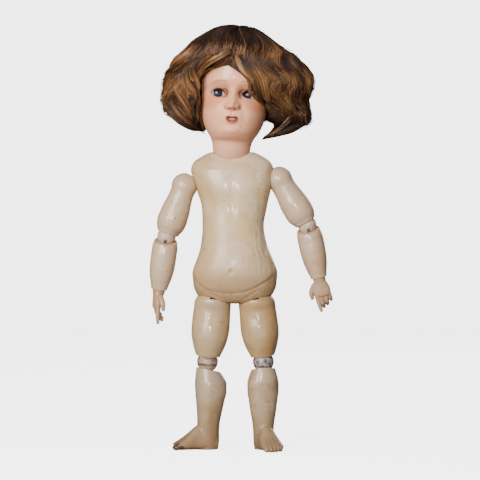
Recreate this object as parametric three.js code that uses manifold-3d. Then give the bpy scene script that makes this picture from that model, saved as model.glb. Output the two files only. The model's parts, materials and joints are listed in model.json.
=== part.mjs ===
// A jointed play doll about 460 mm tall. The head is bisque, with glass eyes that close, an open mouth and
// a mohair wig. The body is papier-mache and wood, and elastic cord inside it pulls every ball into its cup.
// Millimetres, +Z up. The doll faces -Y. Right and left are the doll's own, so its right side is at -X.
// The origin is the middle of the doll's bounding box, on the surface that its soles stand on.

import * as THREE from 'three';
import { mergeVertices } from 'three/addons/utils/BufferGeometryUtils.js';
import Module from 'manifold-3d';

const wasm = await Module();
wasm.setup();

const radians = THREE.MathUtils.degToRad;
const degrees = THREE.MathUtils.radToDeg;
const { abs, cos, max, min, PI, sign, sin } = Math;

// Fits that every joint shares
const ballGap = 0.4; // a ball in the cup that it turns in
const seatGap = 0.3; // two pieces that touch and stay together
const cupWall = 3.6; // papier-mache behind a cup

// Stringing
const elasticRadius = 1.5;
const elasticBore = 3.4;
const elbowSlot = 2.3; // half of its width: it starts at the cup's rim, where a wider one would show
const cordMeeting = 1.95; // from a joint's centre to the round end of a cord that stops there
const wireRadius = 0.8;
const hookBend = 1.6; // radius of the bend of a wire hook

// Facets round a section
const aroundBody = 24;
const aroundLimb = 16;
const aroundHollow = 14; // inside the torso
const aroundSkull = 20; // the head, inside and out, and what lies on it
const aroundBall = 16;
const aroundBar = 6;

// Torso: height above the hip line, half width, depth in front, depth behind, shift to the doll's left
const torsoWall = 4;
const torsoSquareness = 2.3;
const torsoRows = [
  [4.5, 25, 9, 13, 2.4],
  [6.5, 34, 16, 21, 2.4],
  [12, 39, 22, 26.5, 2.4],
  [24, 44.3, 29, 31, 2.6],
  [36, 45.2, 32.5, 30, 2.6],
  [52, 40.6, 33, 25.4, 2.5],
  [68, 35.3, 31, 21, 1.6],
  [88, 32.6, 27, 20, 0.7],
  [110, 35.2, 26, 23, 2.1],
  [132, 41.2, 27, 25, 1],
  [148, 44.4, 24.5, 24, 0.1],
  [156, 41.6, 19.3, 22, 0],
  [163, 32, 13, 20, 0],
  [167, 23.5, 9, 17, 0],
];

// Neck, head and face, measured from the middle of the neck ball
const neckHeight = 172.7; // above the hip line
const neckShift = -1;
const neckBall = 20.5;
const neckHole = 7.5; // in the torso, for the hook
const headRoll = 3.5;
const headYaw = -2;
const bisqueWall = 3;
const headHole = 6; // in the neck ball, for the hook
const faceSquareness = 2.2; // the neck below it is round
// height, half width, depth in front, depth behind
const headRows = [
  [0, neckBall],
  [4.5, 21.6, 21.8, 21.8],
  ...[
    [9, 23.3, 31, 24.5],
    [15, 27.3, 37, 29],
    [23, 31.3, 38.6, 35],
    [33.5, 34.4, 39.5, 39.5],
    [45.5, 35.8, 39.3, 42.5],
    [58, 36.2, 38.5, 44],
    [70, 36.5, 41, 44.5],
    [83, 36.4, 40, 43.3],
    [95, 33.5, 35, 39],
    [107, 25, 24, 29],
    [115, 13, 13, 13],
  ].map((row) => [...row, 0, faceSquareness]),
  [119, 0],
];
const crownHeight = 98; // where the slanted crown opening crosses the head's middle
const crownSlant = 19;
const eyeBall = 8.8;
const eyeSpacing = 32.8;
const eyeHeight = 54.4;
const eyeDepth = 21; // eyeball centres in front of the neck's axis
const eyeOpening = [8.4, 4.1]; // half width and half height
const eyeHollow = [14, 10, 10]; // half sizes of the hollow round each eye
const eyeHollowDepth = 42.3;
const eyeBarRadius = 1.2;
const eyeBarReach = eyeSpacing / 2 + eyeBall + ballGap - seatGap;
const eyePadLength = 9;
const eyePadHeight = 12;
const weightDrop = 23.5;
const weightSetback = 7;
const weightRadius = 6;
const noseSize = [5.6, 8, 9];
const noseDepth = 39.3;
const noseHeight = 41.8;
const mouthHeight = 27.3;
const mouthOpening = [5.2, 2.6];
const teethSize = [9, 2.2, 5]; // width, thickness, height
const teethDrop = 0.6; // how far the teeth's edge is below the middle of the mouth
const neckButtonTop = 10; // below the neck ball's middle
const hookReach = 33; // from the neck ball's middle to the bottom of the neck hook
const hookSetback = 5;
const neckWireRadius = 1.1;
const neckButtonHole = 3;

// Wig: height above the neck ball's middle, half width, depth in front, depth behind, shift to the left
const wigClearance = 2.4; // between the head and the hair mass, where the cloth cap lies
const capGap = 0.4;
const capThickness = 1.4;
const wigRows = [
  [10, 40, 20, 40, 0],
  [18, 55.5, 30, 50, 1.5],
  [26, 74, 38, 57, 7.5],
  [36, 81.2, 43, 60, 2.4],
  [47, 81.6, 46, 62, 1.1],
  [58, 80.5, 49, 63, 3.2],
  [70, 82.2, 52, 64, 2.2],
  [84, 78.4, 55, 62, 6.6],
  [97, 66.1, 55, 58, 4.3],
  [109, 48.7, 50, 51, -0.7],
  [120, 33.5, 39, 40, -1.5],
  [127, 21, 27, 27, -1],
  [131, 0, 0, 0, 2],
];
// The opening that the hair leaves round the face, as x and height
const faceWindow = [
  [-6, 83.5], [4, 76], [15.5, 71], [16, 57], [22, 50], [34, 42.5], [36, 33], [41.5, 29],
  [41.5, 23], [33, 13], [33, 0], [-29, 0], [-29.6, 18], [-33, 23], [-37.5, 40], [-37.5, 62.5], [-32.5, 72],
];
// The lower edge of the hair behind the neck, from right to left: it falls to both sides of the nape
const napeEdge = [[-29.6, 0], [-29.6, 17], [-12, 32], [24, 35], [41.5, 29], [41.5, 23], [33, 13], [33, 0]];
// The hair lies in waves: one ridge winds round the head, and climbs by a wave's length in each turn
const waveLength = 33;
const waveDepth = 4.2;
const waveTop = 73; // height of a ridge at the left side
const waveFade = [12, 26, 96, 118]; // heights between which the waves begin, are full, and end
const hairNeckRoom = [35, 37]; // half width and depth that the hair leaves free round the neck
const wigCrownHeight = 100;
const wigSideRight = -22;
const wigSideLeft = 24;
const wigBackDepth = 15;
const capHairline = 61; // the cloth cap ends on a plane that rises towards the face from here
const lockGap = 0.4; // between two parts of the wig

// Arms
const shoulderBall = 14;
const armThickness = 13.6; // just below the shoulder ball
const elbowBall = 10;
const elbowRim = 1.2; // wall round the elbow ball
const upperArmLength = 57; // between the shoulder's and the elbow's centres
const forearmLength = 59.5; // between the elbow's and the wrist's centres
const wristBall = 6.9;
const wristRim = 1.2;
const forearmBore = 4.6;
const armLift = 60;
const elbowBend = 55;
const elbowBendBack = 5;
const forearmRimTilt = 21; // the cup's rim is lower in front, so the forearm can fold up
const handLength = 19; // palm, from the wrist's centre to the finger roots
const wristHookRise = 10; // from the top of the wrist ball to the top of the hook
const arms = [
  { side: -1, name: 'right', x: -51.6, height: 130.7, lean: 19.8, forearmLean: 8, handTurn: -75 },
  { side: 1, name: 'left', x: 50.5, height: 137.7, lean: 31.4, forearmLean: 12.6, handTurn: 0 },
];

// Legs
const hipBall = 20.3;
const kneeBall = 11.3;
const kneeRim = 1.6;
const thighLength = 58.3; // between the hip's and the knee's centres
const shinLength = 94; // from the knee's centre to the sole
const plugRadius = 5;
const plugTop = 15; // below the knee's centre
const plugLength = 12;
const legSwing = 55;
const legSwingBack = 15;
const kneeBend = 60;
const thighRimTilt = 5.5;
const shinRimTilt = -17.4; // the cup's rim is lower behind, so the leg can fold back
const legs = [
  { side: -1, name: 'right', x: -21.7, lean: 5.1, footTurn: -74 },
  { side: 1, name: 'left', x: 26.7, lean: 6.4, footTurn: 18 },
];

const hipHeight = (leg) => shinLength + thighLength * cos(radians(leg.lean));
const hipLine = (hipHeight(legs[0]) + hipHeight(legs[1])) / 2;

// Finishes
const finish = (color, roughness, metalness = 0) =>
  new THREE.MeshStandardMaterial({ color, roughness, metalness });
const ivory = finish('#cfc2a0', 0.35);
const paleWood = finish('#cdbfa6', 0.5);
const bareWood = finish('#b08a58', 0.8);
const bisque = finish('#d9ab90', 0.45);
const enamel = finish('#efe9dc', 0.25);
const glass = finish('#6f8796', 0.05);
const plaster = finish('#e8e4da', 0.9);
const lead = finish('#6d6f72', 0.6, 1);
const steel = finish('#8a8a86', 0.4, 1);
const cordCloth = finish('#b9ad97', 0.9);
const gauze = finish('#cbb896', 0.95);
const mohair = finish('#6f4a2c', 0.75);

// Solids: a closed geometry becomes a manifold, and is cut and joined there

function solid(geometry) {
  const bare = new THREE.BufferGeometry();
  bare.setAttribute('position', geometry.getAttribute('position'));
  bare.setIndex(geometry.getIndex());
  const merged = mergeVertices(bare, 1e-4);
  return new wasm.Manifold(new wasm.Mesh({
    numProp: 3,
    vertProperties: merged.attributes.position.array,
    triVerts: new Uint32Array(merged.index.array),
  }));
}

const cut = (body, ...tools) => tools.reduce((left, tool) => left.subtract(tool), body);
const join = (...bodies) => bodies.reduce((whole, body) => whole.add(body));

function meshOf(name, body, material) {
  const { vertProperties, triVerts, numProp } = body.getMesh();
  const geometry = new THREE.BufferGeometry();
  const corners = new THREE.InterleavedBuffer(vertProperties, numProp);
  geometry.setAttribute('position', new THREE.InterleavedBufferAttribute(corners, 3, 0));
  geometry.setIndex(Array.from(triVerts));
  geometry.computeVertexNormals();
  const mesh = new THREE.Mesh(geometry, material);
  mesh.name = name;
  return mesh;
}

// Turns the faces round where a list of triangles came out with its inside showing.
function facingOut(positions, index) {
  const geometry = new THREE.BufferGeometry();
  geometry.setAttribute('position', new THREE.Float32BufferAttribute(positions, 3));
  const corner = (i) => new THREE.Vector3().fromArray(positions, 3 * index[i]);
  let volume = 0;
  for (let i = 0; i < index.length; i += 3) {
    volume += corner(i).dot(corner(i + 1).cross(corner(i + 2)));
  }
  geometry.setIndex(volume < 0 ? index.slice().reverse() : index);
  return geometry;
}

// A closed skin over rings of points, each ring a full turn or a single point at a pole.
function skin(rings) {
  const positions = rings.flat(2);
  const starts = rings.map((_, i) => rings.slice(0, i).reduce((sum, ring) => sum + ring.length, 0));
  const index = [];
  for (let i = 0; i + 1 < rings.length; i += 1) {
    const [lower, upper] = [rings[i].length, rings[i + 1].length];
    for (let k = 0; k < max(lower, upper); k += 1) {
      const [a, b] = [starts[i] + (k % lower), starts[i] + ((k + 1) % lower)];
      const [c, d] = [starts[i + 1] + (k % upper), starts[i + 1] + ((k + 1) % upper)];
      if (lower > 1) index.push(a, b, d);
      if (upper > 1) index.push(a, d, c);
    }
  }
  for (const end of [0, rings.length - 1]) {
    for (let k = 1; k + 1 < rings[end].length; k += 1) {
      const fan = [starts[end], starts[end] + k, starts[end] + k + 1];
      index.push(...(end === 0 ? fan.reverse() : fan));
    }
  }
  return facingOut(positions, index);
}

const bulge = (value, power) => sign(value) * abs(value) ** power;

// A body whose level sections are ovals, each with its own depth in front and behind. A row is height,
// half width, depth in front, depth behind, shift in x, and how square its oval is: 2 is an ellipse.
function loft(rows, around = aroundLimb, squareness = 2) {
  return solid(skin(rows.map(([z, wide, front = wide, back = front, x = 0, ownSquareness = squareness]) => {
    if (wide === 0) return [[x, 0, z]];
    return Array.from({ length: around }, (_, k) => {
      const angle = (2 * PI * k) / around;
      const depth = sin(angle) < 0 ? front : back;
      const power = 2 / ownSquareness;
      return [x + wide * bulge(cos(angle), power), depth * bulge(sin(angle), power), z];
    });
  })));
}

// Rows of a ball's top half, from its pole down, and of its bottom half, from its pole up.
const dome = (radius, steps = 4) => Array.from({ length: steps }, (_, i) => {
  const polar = (i * PI) / 2 / steps;
  return [radius * cos(polar), radius * sin(polar)];
});
const bowl = (radius, steps = 4) => dome(radius, steps).map(([z, wide]) => [-z, wide]);

const grown = (rows, by) => rows.map(([z, ...sizes]) => {
  const [wide, front = wide, back = front, x = 0, ownSquareness] = sizes;
  return [z, max(wide + by, 0), max(front + by, 0), max(back + by, 0), x, ownSquareness];
});

// A round limb along a curve, from one radius to the next, with rounded ends.
function limb(points, radii, around = aroundBar, steps = 2 * (points.length - 1)) {
  const curve = new THREE.CatmullRomCurve3(points.map((point) => new THREE.Vector3(...point)));
  const frames = curve.computeFrenetFrames(steps, false);
  const radiusAt = (t) => {
    const place = min(t * (radii.length - 1), radii.length - 1.001);
    const i = Math.floor(place);
    return radii[i] + (place - i) * (radii[i + 1] - radii[i]);
  };
  const rings = Array.from({ length: steps + 1 }, (_, i) => {
    const centre = curve.getPoint(i / steps);
    return Array.from({ length: around }, (__, k) => {
      const angle = (2 * PI * k) / around;
      return centre.clone()
        .addScaledVector(frames.normals[i], radiusAt(i / steps) * cos(angle))
        .addScaledVector(frames.binormals[i], radiusAt(i / steps) * sin(angle)).toArray();
    });
  });
  const tip = (t, way) => [curve.getPoint(t)
    .addScaledVector(frames.tangents[t * steps], way * 0.7 * radiusAt(t)).toArray()];
  return solid(skin([tip(0, -1), ...rings, tip(1, 1)]));
}

const vector = (point) => new THREE.Vector3(...point);
const pointAlong = (from, to, distance) =>
  vector(from).addScaledVector(vector(to).sub(vector(from)).normalize(), distance).toArray();

// A straight round bar between two points.
function rod(from, to, radius, around = aroundBar) {
  const span = vector(to).sub(vector(from));
  const bar = new THREE.CylinderGeometry(radius, radius, span.length(), around);
  bar.applyQuaternion(new THREE.Quaternion().setFromUnitVectors(
    new THREE.Vector3(0, 1, 0), span.clone().normalize()));
  const middle = vector(from).addScaledVector(span, 0.5);
  return solid(bar.translate(...middle.toArray()));
}

// A bar to cut a hole with: its flat facets all lie outside the radius.
const bore = (from, to, radius, around = aroundBar) => rod(from, to, radius / cos(PI / around), around);

const ball = (centre, radius, around = aroundBall, high = 10) =>
  solid(new THREE.SphereGeometry(radius, around, high).translate(...centre));

// A ball to cut a cup with: its flat facets all lie outside the radius that the cup must leave free.
function cupTool(centre, radius, around = aroundBall, high = 12) {
  const swell = 1 / (cos(PI / around) * cos(PI / (2 * high)));
  return ball(centre, (radius + ballGap) * swell, around, high);
}

// A cord with half-round ends, which stop short of the two points by the given lengths.
function cord(from, to, stopFrom = cordMeeting, stopTo = cordMeeting) {
  const ends = [pointAlong(from, to, stopFrom), pointAlong(to, from, stopTo)];
  return limb(ends, [elasticRadius, elasticRadius], aroundBar, 1);
}

const reach = 1000; // longer than anything that it cuts

// Straight up, tipped forwards by the given degrees.
const tipped = (angle) => [0, -sin(radians(angle)), cos(radians(angle))];

// Everything on one side of a plane through a point, as a block: the side that the direction points to.
function sideOf(point, direction) {
  const block = new THREE.BoxGeometry(reach, reach, reach).translate(0, 0, reach / 2);
  block.applyQuaternion(new THREE.Quaternion().setFromUnitVectors(
    new THREE.Vector3(0, 0, 1), vector(direction).normalize()));
  return solid(block.translate(...point));
}

// The room that a cord sweeps in a ball: a fan about the ball's middle, with the cord's bore at each end.
// Directions are angles in the plane of two unit vectors, measured from the first towards the second.
function fan(radius, [along, across], fromAngle, toAngle, half = elasticBore) {
  const [from, to] = [radians(fromAngle), radians(toAngle)];
  const shape = new THREE.Shape();
  shape.absarc(0, 0, radius, from, to, false);
  shape.lineTo(0, 0);
  const slice = new THREE.ExtrudeGeometry(shape, {
    depth: 2 * half, bevelEnabled: false, curveSegments: 4,
  }).translate(0, 0, -half);
  const normal = vector(along).cross(vector(across));
  slice.applyMatrix4(new THREE.Matrix4().makeBasis(vector(along), vector(across), normal));
  const direction = (angle) => vector(along).multiplyScalar(radius * cos(angle))
    .addScaledVector(vector(across), radius * sin(angle)).toArray();
  const bores = [from, to].map((angle) => bore([0, 0, 0], direction(angle), half));
  return join(solid(slice), ...bores);
}

// A wire that ends in a round hook, at the top of a shank. The hook's bend lies in the XZ plane.
function wireHook(bottom, top, radius = wireRadius) {
  const bend = top - radius - hookBend;
  return limb([
    [-hookBend, 0, bottom], [-hookBend, 0, (bottom + bend) / 2], [-hookBend, 0, bend],
    [0, 0, bend + hookBend], [hookBend, 0, bend], [hookBend, 0, bend - 1.5 * hookBend],
  ], [radius, radius], 5, 9);
}

function groupAt(position, rotation, ...children) {
  const group = new THREE.Group();
  group.position.set(...position);
  group.rotation.set(...rotation.map(radians));
  group.add(...children);
  return group;
}

// Torso: two pressed shells, glued along the sides, with a cup for the neck, each arm and each leg

const shoulderOf = (arm) => [arm.x, 0, hipLine + arm.height];
const hipOf = (leg) => [leg.x, 0, hipHeight(leg)];
const neckPivot = [neckShift, 0, hipLine + neckHeight];
const shoulders = arms.map(shoulderOf);
const hips = legs.map(hipOf);
const headTurned = new THREE.Euler(0, radians(headRoll), radians(headYaw));
const hookPoint = (side) => new THREE.Vector3(
  side * (neckWireRadius + seatGap + elasticRadius), hookSetback, -hookReach + 2,
).applyEuler(headTurned).add(new THREE.Vector3(...neckPivot)).toArray();

function torsoShell() {
  const rows = torsoRows.map(([z, ...sizes]) => [z + hipLine, ...sizes]);
  const cups = [
    { centre: neckPivot, radius: neckBall },
    ...shoulders.map((centre) => ({ centre, radius: shoulderBall })),
    ...hips.map((centre) => ({ centre, radius: hipBall })),
  ];
  const walls = cups.map(({ centre, radius }) => ball(centre, radius + ballGap + cupWall, aroundHollow, 8));
  const hollow = cut(loft(grown(rows, -torsoWall), aroundHollow, torsoSquareness), ...walls);
  const bores = [
    bore(shoulders[0], shoulders[1], elasticBore),
    bore(neckPivot, [neckPivot[0], 0, neckPivot[2] - neckBall - 3 * cupWall], neckHole, 10),
    ...hips.map((hip, i) => bore(hip, hookPoint(legs[i].side), elasticBore)),
  ];
  return cut(loft(rows, aroundBody, torsoSquareness), hollow, ...bores,
    ...cups.map(({ centre, radius }) => cupTool(centre, radius)));
}

function torsoParts() {
  const shell = torsoShell();
  const front = sideOf([0, 0, 0], [0, -1, 0]);
  const middle = vector(shoulders[0]).lerp(vector(shoulders[1]), 0.5).toArray();
  return [
    meshOf('torso_front', shell.intersect(front), ivory),
    meshOf('torso_back', shell.subtract(front), ivory),
    ...arms.map((arm, i) => meshOf(`arm_elastic_${arm.name}`,
      cord(shoulders[i], middle, cordMeeting, elasticRadius + seatGap / 2), cordCloth)),
    ...legs.map((leg, i) => meshOf(`leg_elastic_${leg.name}`,
      cord(hips[i], hookPoint(leg.side), cordMeeting, 0), cordCloth)),
  ];
}

// Head

const headOuter = [...bowl(neckBall), ...headRows];
const headInner = [
  ...bowl(neckBall - bisqueWall, 4),
  ...grown(headRows.slice(0, -2), -bisqueWall),
  [headRows.at(-1)[0] - bisqueWall, 0],
];
const crownPoint = [0, 0, crownHeight];
const crownUp = tipped(-crownSlant);
const above = (offset) => sideOf(
  vector(crownPoint).addScaledVector(vector(crownUp), offset).toArray(), crownUp);
const eyeCentre = (side) => [(side * eyeSpacing) / 2, -eyeDepth, eyeHeight];

// An oval hole through the front of the face, as wide and as high as given in halves.
function faceHole(x, z, [wide, high], deepest) {
  const hole = new THREE.CylinderGeometry(1, 1, reach, 12).scale(wide, 1, high);
  return solid(hole.translate(x, -reach / 2 - deepest, z));
}

const roundLump = (centre, [wide, deep, high]) =>
  solid(new THREE.SphereGeometry(1, 12, 8).scale(wide, deep, high).translate(...centre));

function headShell() {
  const skull = join(
    loft(headOuter, aroundSkull),
    roundLump([0, -noseDepth, noseHeight], noseSize),
  );
  const sides = [-1, 1];
  return cut(skull, loft(headInner, aroundSkull), above(0),
    bore([0, 0, 0], [0, 0, -reach / 4], headHole, 10),
    ...sides.map((side) => roundLump([eyeCentre(side)[0], -eyeHollowDepth, eyeHeight], eyeHollow)),
    ...sides.map((side) => cupTool(eyeCentre(side), eyeBall)),
    ...sides.map((side) => faceHole(eyeCentre(side)[0], eyeHeight, eyeOpening, eyeDepth)),
    faceHole(0, mouthHeight, mouthOpening, eyeDepth));
}

function pateDome() {
  return cut(loft(headOuter, aroundSkull), loft(headInner, aroundSkull))
    .intersect(above(seatGap));
}

// Plaster between the eyeball and the inside of the head. The end of the bar runs against it.
function eyePad(side) {
  const [x, y, z] = eyeCentre(side);
  const block = new THREE.BoxGeometry(eyeBall, eyePadLength, eyePadHeight)
    .translate(x + side * (eyeBall + ballGap + eyeBall / 2), y + eyePadLength / 2 - 2.5 * eyeBarRadius, z);
  const inside = loft(grown(headInner, -seatGap), aroundSkull);
  return cut(solid(block).intersect(inside), cupTool(eyeCentre(side), eyeBall));
}

function teethStrip() {
  const [wide, thick, high] = teethSize;
  const innerFront = headInner.findLast(([z]) => z < mouthHeight)[2] * cos(PI / aroundSkull);
  const strip = new THREE.BoxGeometry(wide, thick, high);
  return solid(strip.translate(0, -innerFront + thick / 2 + seatGap, mouthHeight + high / 2 - teethDrop));
}

function eyeWeight() {
  const [y, z] = [-eyeDepth, eyeHeight];
  const bottom = [0, y + weightSetback, z - weightDrop];
  return cut(join(rod([0, y, z], bottom, 2 * eyeBarRadius), ball(bottom, weightRadius, 10, 6),
    rod([-eyeBall / 3, y, z], [eyeBall / 3, y, z], 2.2 * eyeBarRadius)),
  bore([-reach, y, z], [reach, y, z], eyeBarRadius + seatGap));
}

function neckHook() {
  const low = -hookReach + neckWireRadius;
  const lying = -neckButtonTop + neckWireRadius + seatGap;
  return limb([
    [6, 0, lying], [2, 0, lying],
    [0, 0, -neckButtonTop - 2], [0, 0, -neckButtonTop - 9], [0, 0, low + 5], [0, hookSetback / 2, low],
    [0, hookSetback + 1, low + 4],
  ], [neckWireRadius, neckWireRadius], 6, 12);
}

function neckButton() {
  const inside = neckBall - bisqueWall;
  const dish = loft([...grown(bowl(inside), -seatGap), [0, inside - seatGap]], aroundSkull);
  return cut(dish.translate([0, 0, seatGap]), sideOf([0, 0, -neckButtonTop], [0, 0, 1]),
    bore([0, 0, 0], [0, 0, -reach / 4], neckButtonHole));
}

// Wig: one mass of hair in five parts, over a thin gauze cap

const smooth = THREE.MathUtils.smoothstep;

// How far the hair lies below its outline, at a height and at a turn from the front, in radians.
function waveDent(z, turn) {
  const [start, full, fading, end] = waveFade;
  const phase = (2 * PI * (z - waveTop)) / waveLength + PI / 2 - turn;
  return waveDepth * smooth(z, start, full) * (1 - smooth(z, fading, end)) * (1 - cos(phase)) / 2;
}

// Rows between the given ones, close enough together to follow the waves.
function wavedRows() {
  const [bottom, top] = [wigRows[0][0], wigRows.at(-1)[0]];
  const count = Math.round((4 * (top - bottom)) / waveLength);
  return Array.from({ length: count }, (_, i) => {
    const z = bottom + ((top - bottom) * i) / count;
    const k = wigRows.findLastIndex(([height]) => height <= z);
    const share = (z - wigRows[k][0]) / (wigRows[k + 1][0] - wigRows[k][0]);
    return wigRows[k].map((size, j) => THREE.MathUtils.lerp(size, wigRows[k + 1][j], share));
  }).concat([wigRows.at(-1)]);
}

function wavedHair() {
  return loft(wavedRows(), aroundBody).warp((point) => {
    const [x, y, z] = point;
    const scale = 1 - waveDent(z, Math.atan2(x, -y)) / max(Math.hypot(x, y), waveLength);
    [point[0], point[1]] = [x * scale, y * scale];
  });
}

// A prism through half of the hair, in front of the neck or, with towards = 1, behind it.
function hairOpening(outline, towards) {
  const shape = new THREE.Shape(outline.map(([x, z]) => new THREE.Vector2(x, z)));
  return solid(new THREE.ExtrudeGeometry(shape, { depth: reach, bevelEnabled: false })
    .rotateX(PI / 2).translate(0, towards > 0 ? reach - 1 : 0, 0));
}

function wigMass() {
  const [wide, deep] = hairNeckRoom;
  const neckRoom = new THREE.CylinderGeometry(1, 1, 40, 16).rotateX(PI / 2).scale(wide, deep, 1);
  const headRoom = grown(headOuter, wigClearance);
  headRoom.at(-1)[0] += wigClearance;
  return cut(wavedHair(), loft(headRoom, aroundSkull), solid(neckRoom),
    hairOpening(faceWindow, -1), hairOpening(napeEdge, 1));
}

function wigParts() {
  const mass = wigMass();
  const half = lockGap / 2;
  const top = sideOf([0, 0, wigCrownHeight + half], [0, 0, 1]);
  const below = sideOf([0, 0, wigCrownHeight - half], [0, 0, -1]);
  const rear = sideOf([0, wigBackDepth + half, 0], [0, 1, 0]);
  const fore = below.intersect(sideOf([0, wigBackDepth - half, 0], [0, -1, 0]));
  const right = sideOf([wigSideRight - half, 0, 0], [-1, 0, 0]);
  const left = sideOf([wigSideLeft + half, 0, 0], [1, 0, 0]);
  const middle = sideOf([wigSideRight + half, 0, 0], [1, 0, 0])
    .intersect(sideOf([wigSideLeft - half, 0, 0], [-1, 0, 0]));
  return [
    meshOf('wig_crown', mass.intersect(top), mohair),
    meshOf('wig_back', mass.intersect(below).intersect(rear), mohair),
    meshOf('wig_side_right', mass.intersect(fore).intersect(right), mohair),
    meshOf('wig_side_left', mass.intersect(fore).intersect(left), mohair),
    meshOf('wig_fringe', mass.intersect(fore).intersect(middle), mohair),
  ];
}

function wigCap() {
  const lifted = (by) => {
    const rows = grown(headRows, by);
    rows.at(-1)[0] += by;
    return rows;
  };
  const hairline = sideOf([0, 0, capHairline], [0, -1, -1]);
  return cut(loft(lifted(capGap + capThickness), aroundSkull),
    loft(lifted(capGap), aroundSkull), hairline);
}

function headParts() {
  const barEnds = [[-eyeBarReach, -eyeDepth, eyeHeight], [eyeBarReach, -eyeDepth, eyeHeight]];
  const boredEye = (side) => cut(ball(eyeCentre(side), eyeBall, 14, 10),
    bore([-reach, -eyeDepth, eyeHeight], [reach, -eyeDepth, eyeHeight], eyeBarRadius + seatGap));
  return groupAt(neckPivot, [0, headRoll, headYaw],
    meshOf('head', headShell(), bisque),
    meshOf('pate', pateDome(), bareWood),
    meshOf('teeth', teethStrip(), enamel),
    meshOf('eye_pad_right', eyePad(-1), plaster),
    meshOf('eye_pad_left', eyePad(1), plaster),
    meshOf('eye_right', boredEye(-1), glass),
    meshOf('eye_left', boredEye(1), glass),
    meshOf('eye_bar', rod(...barEnds, eyeBarRadius), steel),
    meshOf('eye_weight', eyeWeight(), lead),
    meshOf('neck_button', neckButton(), bareWood),
    meshOf('neck_hook', neckHook(), steel),
    meshOf('wig_cap', wigCap(), gauze),
    ...wigParts());
}

// Arms, drawn for the right arm, with +X towards the body. The left arm is the mirror image.

const elbowCentre = [0, 0, -upperArmLength];
const acrossShoulders = vector(shoulders[1]).sub(vector(shoulders[0]));
const shoulderTilt = degrees(Math.atan2(acrossShoulders.z, acrossShoulders.x));
const wristCentre = [0, 0, -forearmLength];

function upperArm(arm) {
  const rim = elbowBall + ballGap + elbowRim;
  const rows = [...dome(shoulderBall), [0, shoulderBall], [-8, armThickness - 0.8], [-17, armThickness],
    [-27.5, armThickness + 1.6], [-39, armThickness + 2.3], [-47, armThickness + 1.1],
    [5 - upperArmLength, rim + 0.6], [3 - upperArmLength, rim]];
  const inward = (arm.side < 0 ? 1 : -1) * shoulderTilt + arm.lean;
  return cut(loft(rows), cupTool(elbowCentre, elbowBall), bore([0, 0, 0], elbowCentre, elasticBore),
    fan(1.2 * shoulderBall, [[1, 0, 0], [0, 0, 1]], inward, inward + armLift));
}

function elbowJoint(arm) {
  const tilt = radians(arm.lean - arm.forearmLean);
  const up = [sin(tilt) * 2 * elbowBall, 0, cos(tilt) * 2 * elbowBall];
  return cut(ball([0, 0, 0], elbowBall), bore([0, 0, 0], up, elasticBore),
    fan(1.2 * elbowBall, [[0, 0, -1], [0, -1, 0]], -elbowBendBack, elbowBend, elbowSlot));
}

function forearm() {
  const rim = elbowBall + ballGap + elbowRim;
  const end = wristBall + ballGap + wristRim;
  const rows = [[6, rim - 0.8], [0, rim - 0.2], [-6, 12.5], [-13.5, 13.8], [-24, 13.9], [-35, 13.3],
    [-46, 11.6], [5 - forearmLength, end + 0.8], [1.2 - forearmLength, end]];
  return cut(loft(rows), cupTool([0, 0, 0], elbowBall), cupTool(wristCentre, wristBall, aroundBall, 8),
    sideOf([0, 0, -0.54 * elbowBall], tipped(forearmRimTilt)),
    bore([0, 0, 0], wristCentre, forearmBore));
}

// Palm towards +Y and thumb towards +X, with the middle finger's root straight below the wrist.
function hand() {
  const root = -handLength;
  const palm = loft([...dome(wristBall, 3), [0, wristBall], [-2.5, 6.6, 6.2], [-7, 8.4, 5.4],
    [-12, 9.6, 4.9], [-16.5, 9.4, 4.6], [root, 8, 3.6]], 14);
  const fingers = [
    limb([[6.3, 0, root + 3], [5.8, 1.2, root - 6], [5, 2.6, root - 15.5]], [2.9, 2.6, 2.1]),
    limb([[2, 0, root + 2], [1.6, 2.2, root - 6], [1, 7.6, root - 12]], [3, 2.7, 2.2]),
    limb([[-2.4, 0, root + 2], [-3.2, 2.5, root - 5.5], [-3.4, 8.5, root - 10]], [2.9, 2.6, 2.1]),
    limb([[-6.4, 0, root + 3.5], [-7.6, 2.4, root - 2.5], [-8, 7.5, root - 6.5]], [2.6, 2.3, 1.9]),
    limb([[6.6, 1.2, -6.5], [11, 3.4, -12.5], [11.6, 5, -19.5]], [3.6, 3.1, 2.3]),
  ];
  const hookRoom = bore([0, 0, reach], [0, 0, -0.6 * handLength], hookBend + wireRadius + seatGap);
  return cut(join(palm, ...fingers), hookRoom);
}

function armParts(arm) {
  const flip = (body) => (arm.side < 0 ? body : body.mirror([1, 0, 0]));
  const bend = arm.side * (arm.lean - arm.forearmLean);
  const hookTop = -forearmLength + wristBall + wristHookRise;
  return groupAt(shoulderOf(arm), [0, -arm.side * arm.lean, 0],
    meshOf(`upper_arm_${arm.name}`, flip(upperArm(arm)), ivory),
    meshOf(`upper_arm_elastic_${arm.name}`, cord([0, 0, 0], elbowCentre), cordCloth),
    groupAt(elbowCentre, [0, bend, 0],
      meshOf(`elbow_ball_${arm.name}`, flip(elbowJoint(arm)), paleWood),
      meshOf(`forearm_${arm.name}`, forearm(), ivory),
      meshOf(`forearm_elastic_${arm.name}`,
        cord([0, 0, 0], [0, 0, hookTop], cordMeeting, elasticRadius + seatGap), cordCloth),
      groupAt(wristCentre, [0, 0, arm.handTurn],
        meshOf(`hand_${arm.name}`, flip(hand()), ivory),
        meshOf(`wrist_hook_${arm.name}`, wireHook(-0.55 * handLength, hookTop + forearmLength), steel))));
}

// Legs, with the hip's centre as origin for the thigh and the knee's centre for the rest

const kneeCentre = [0, 0, -thighLength];

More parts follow.
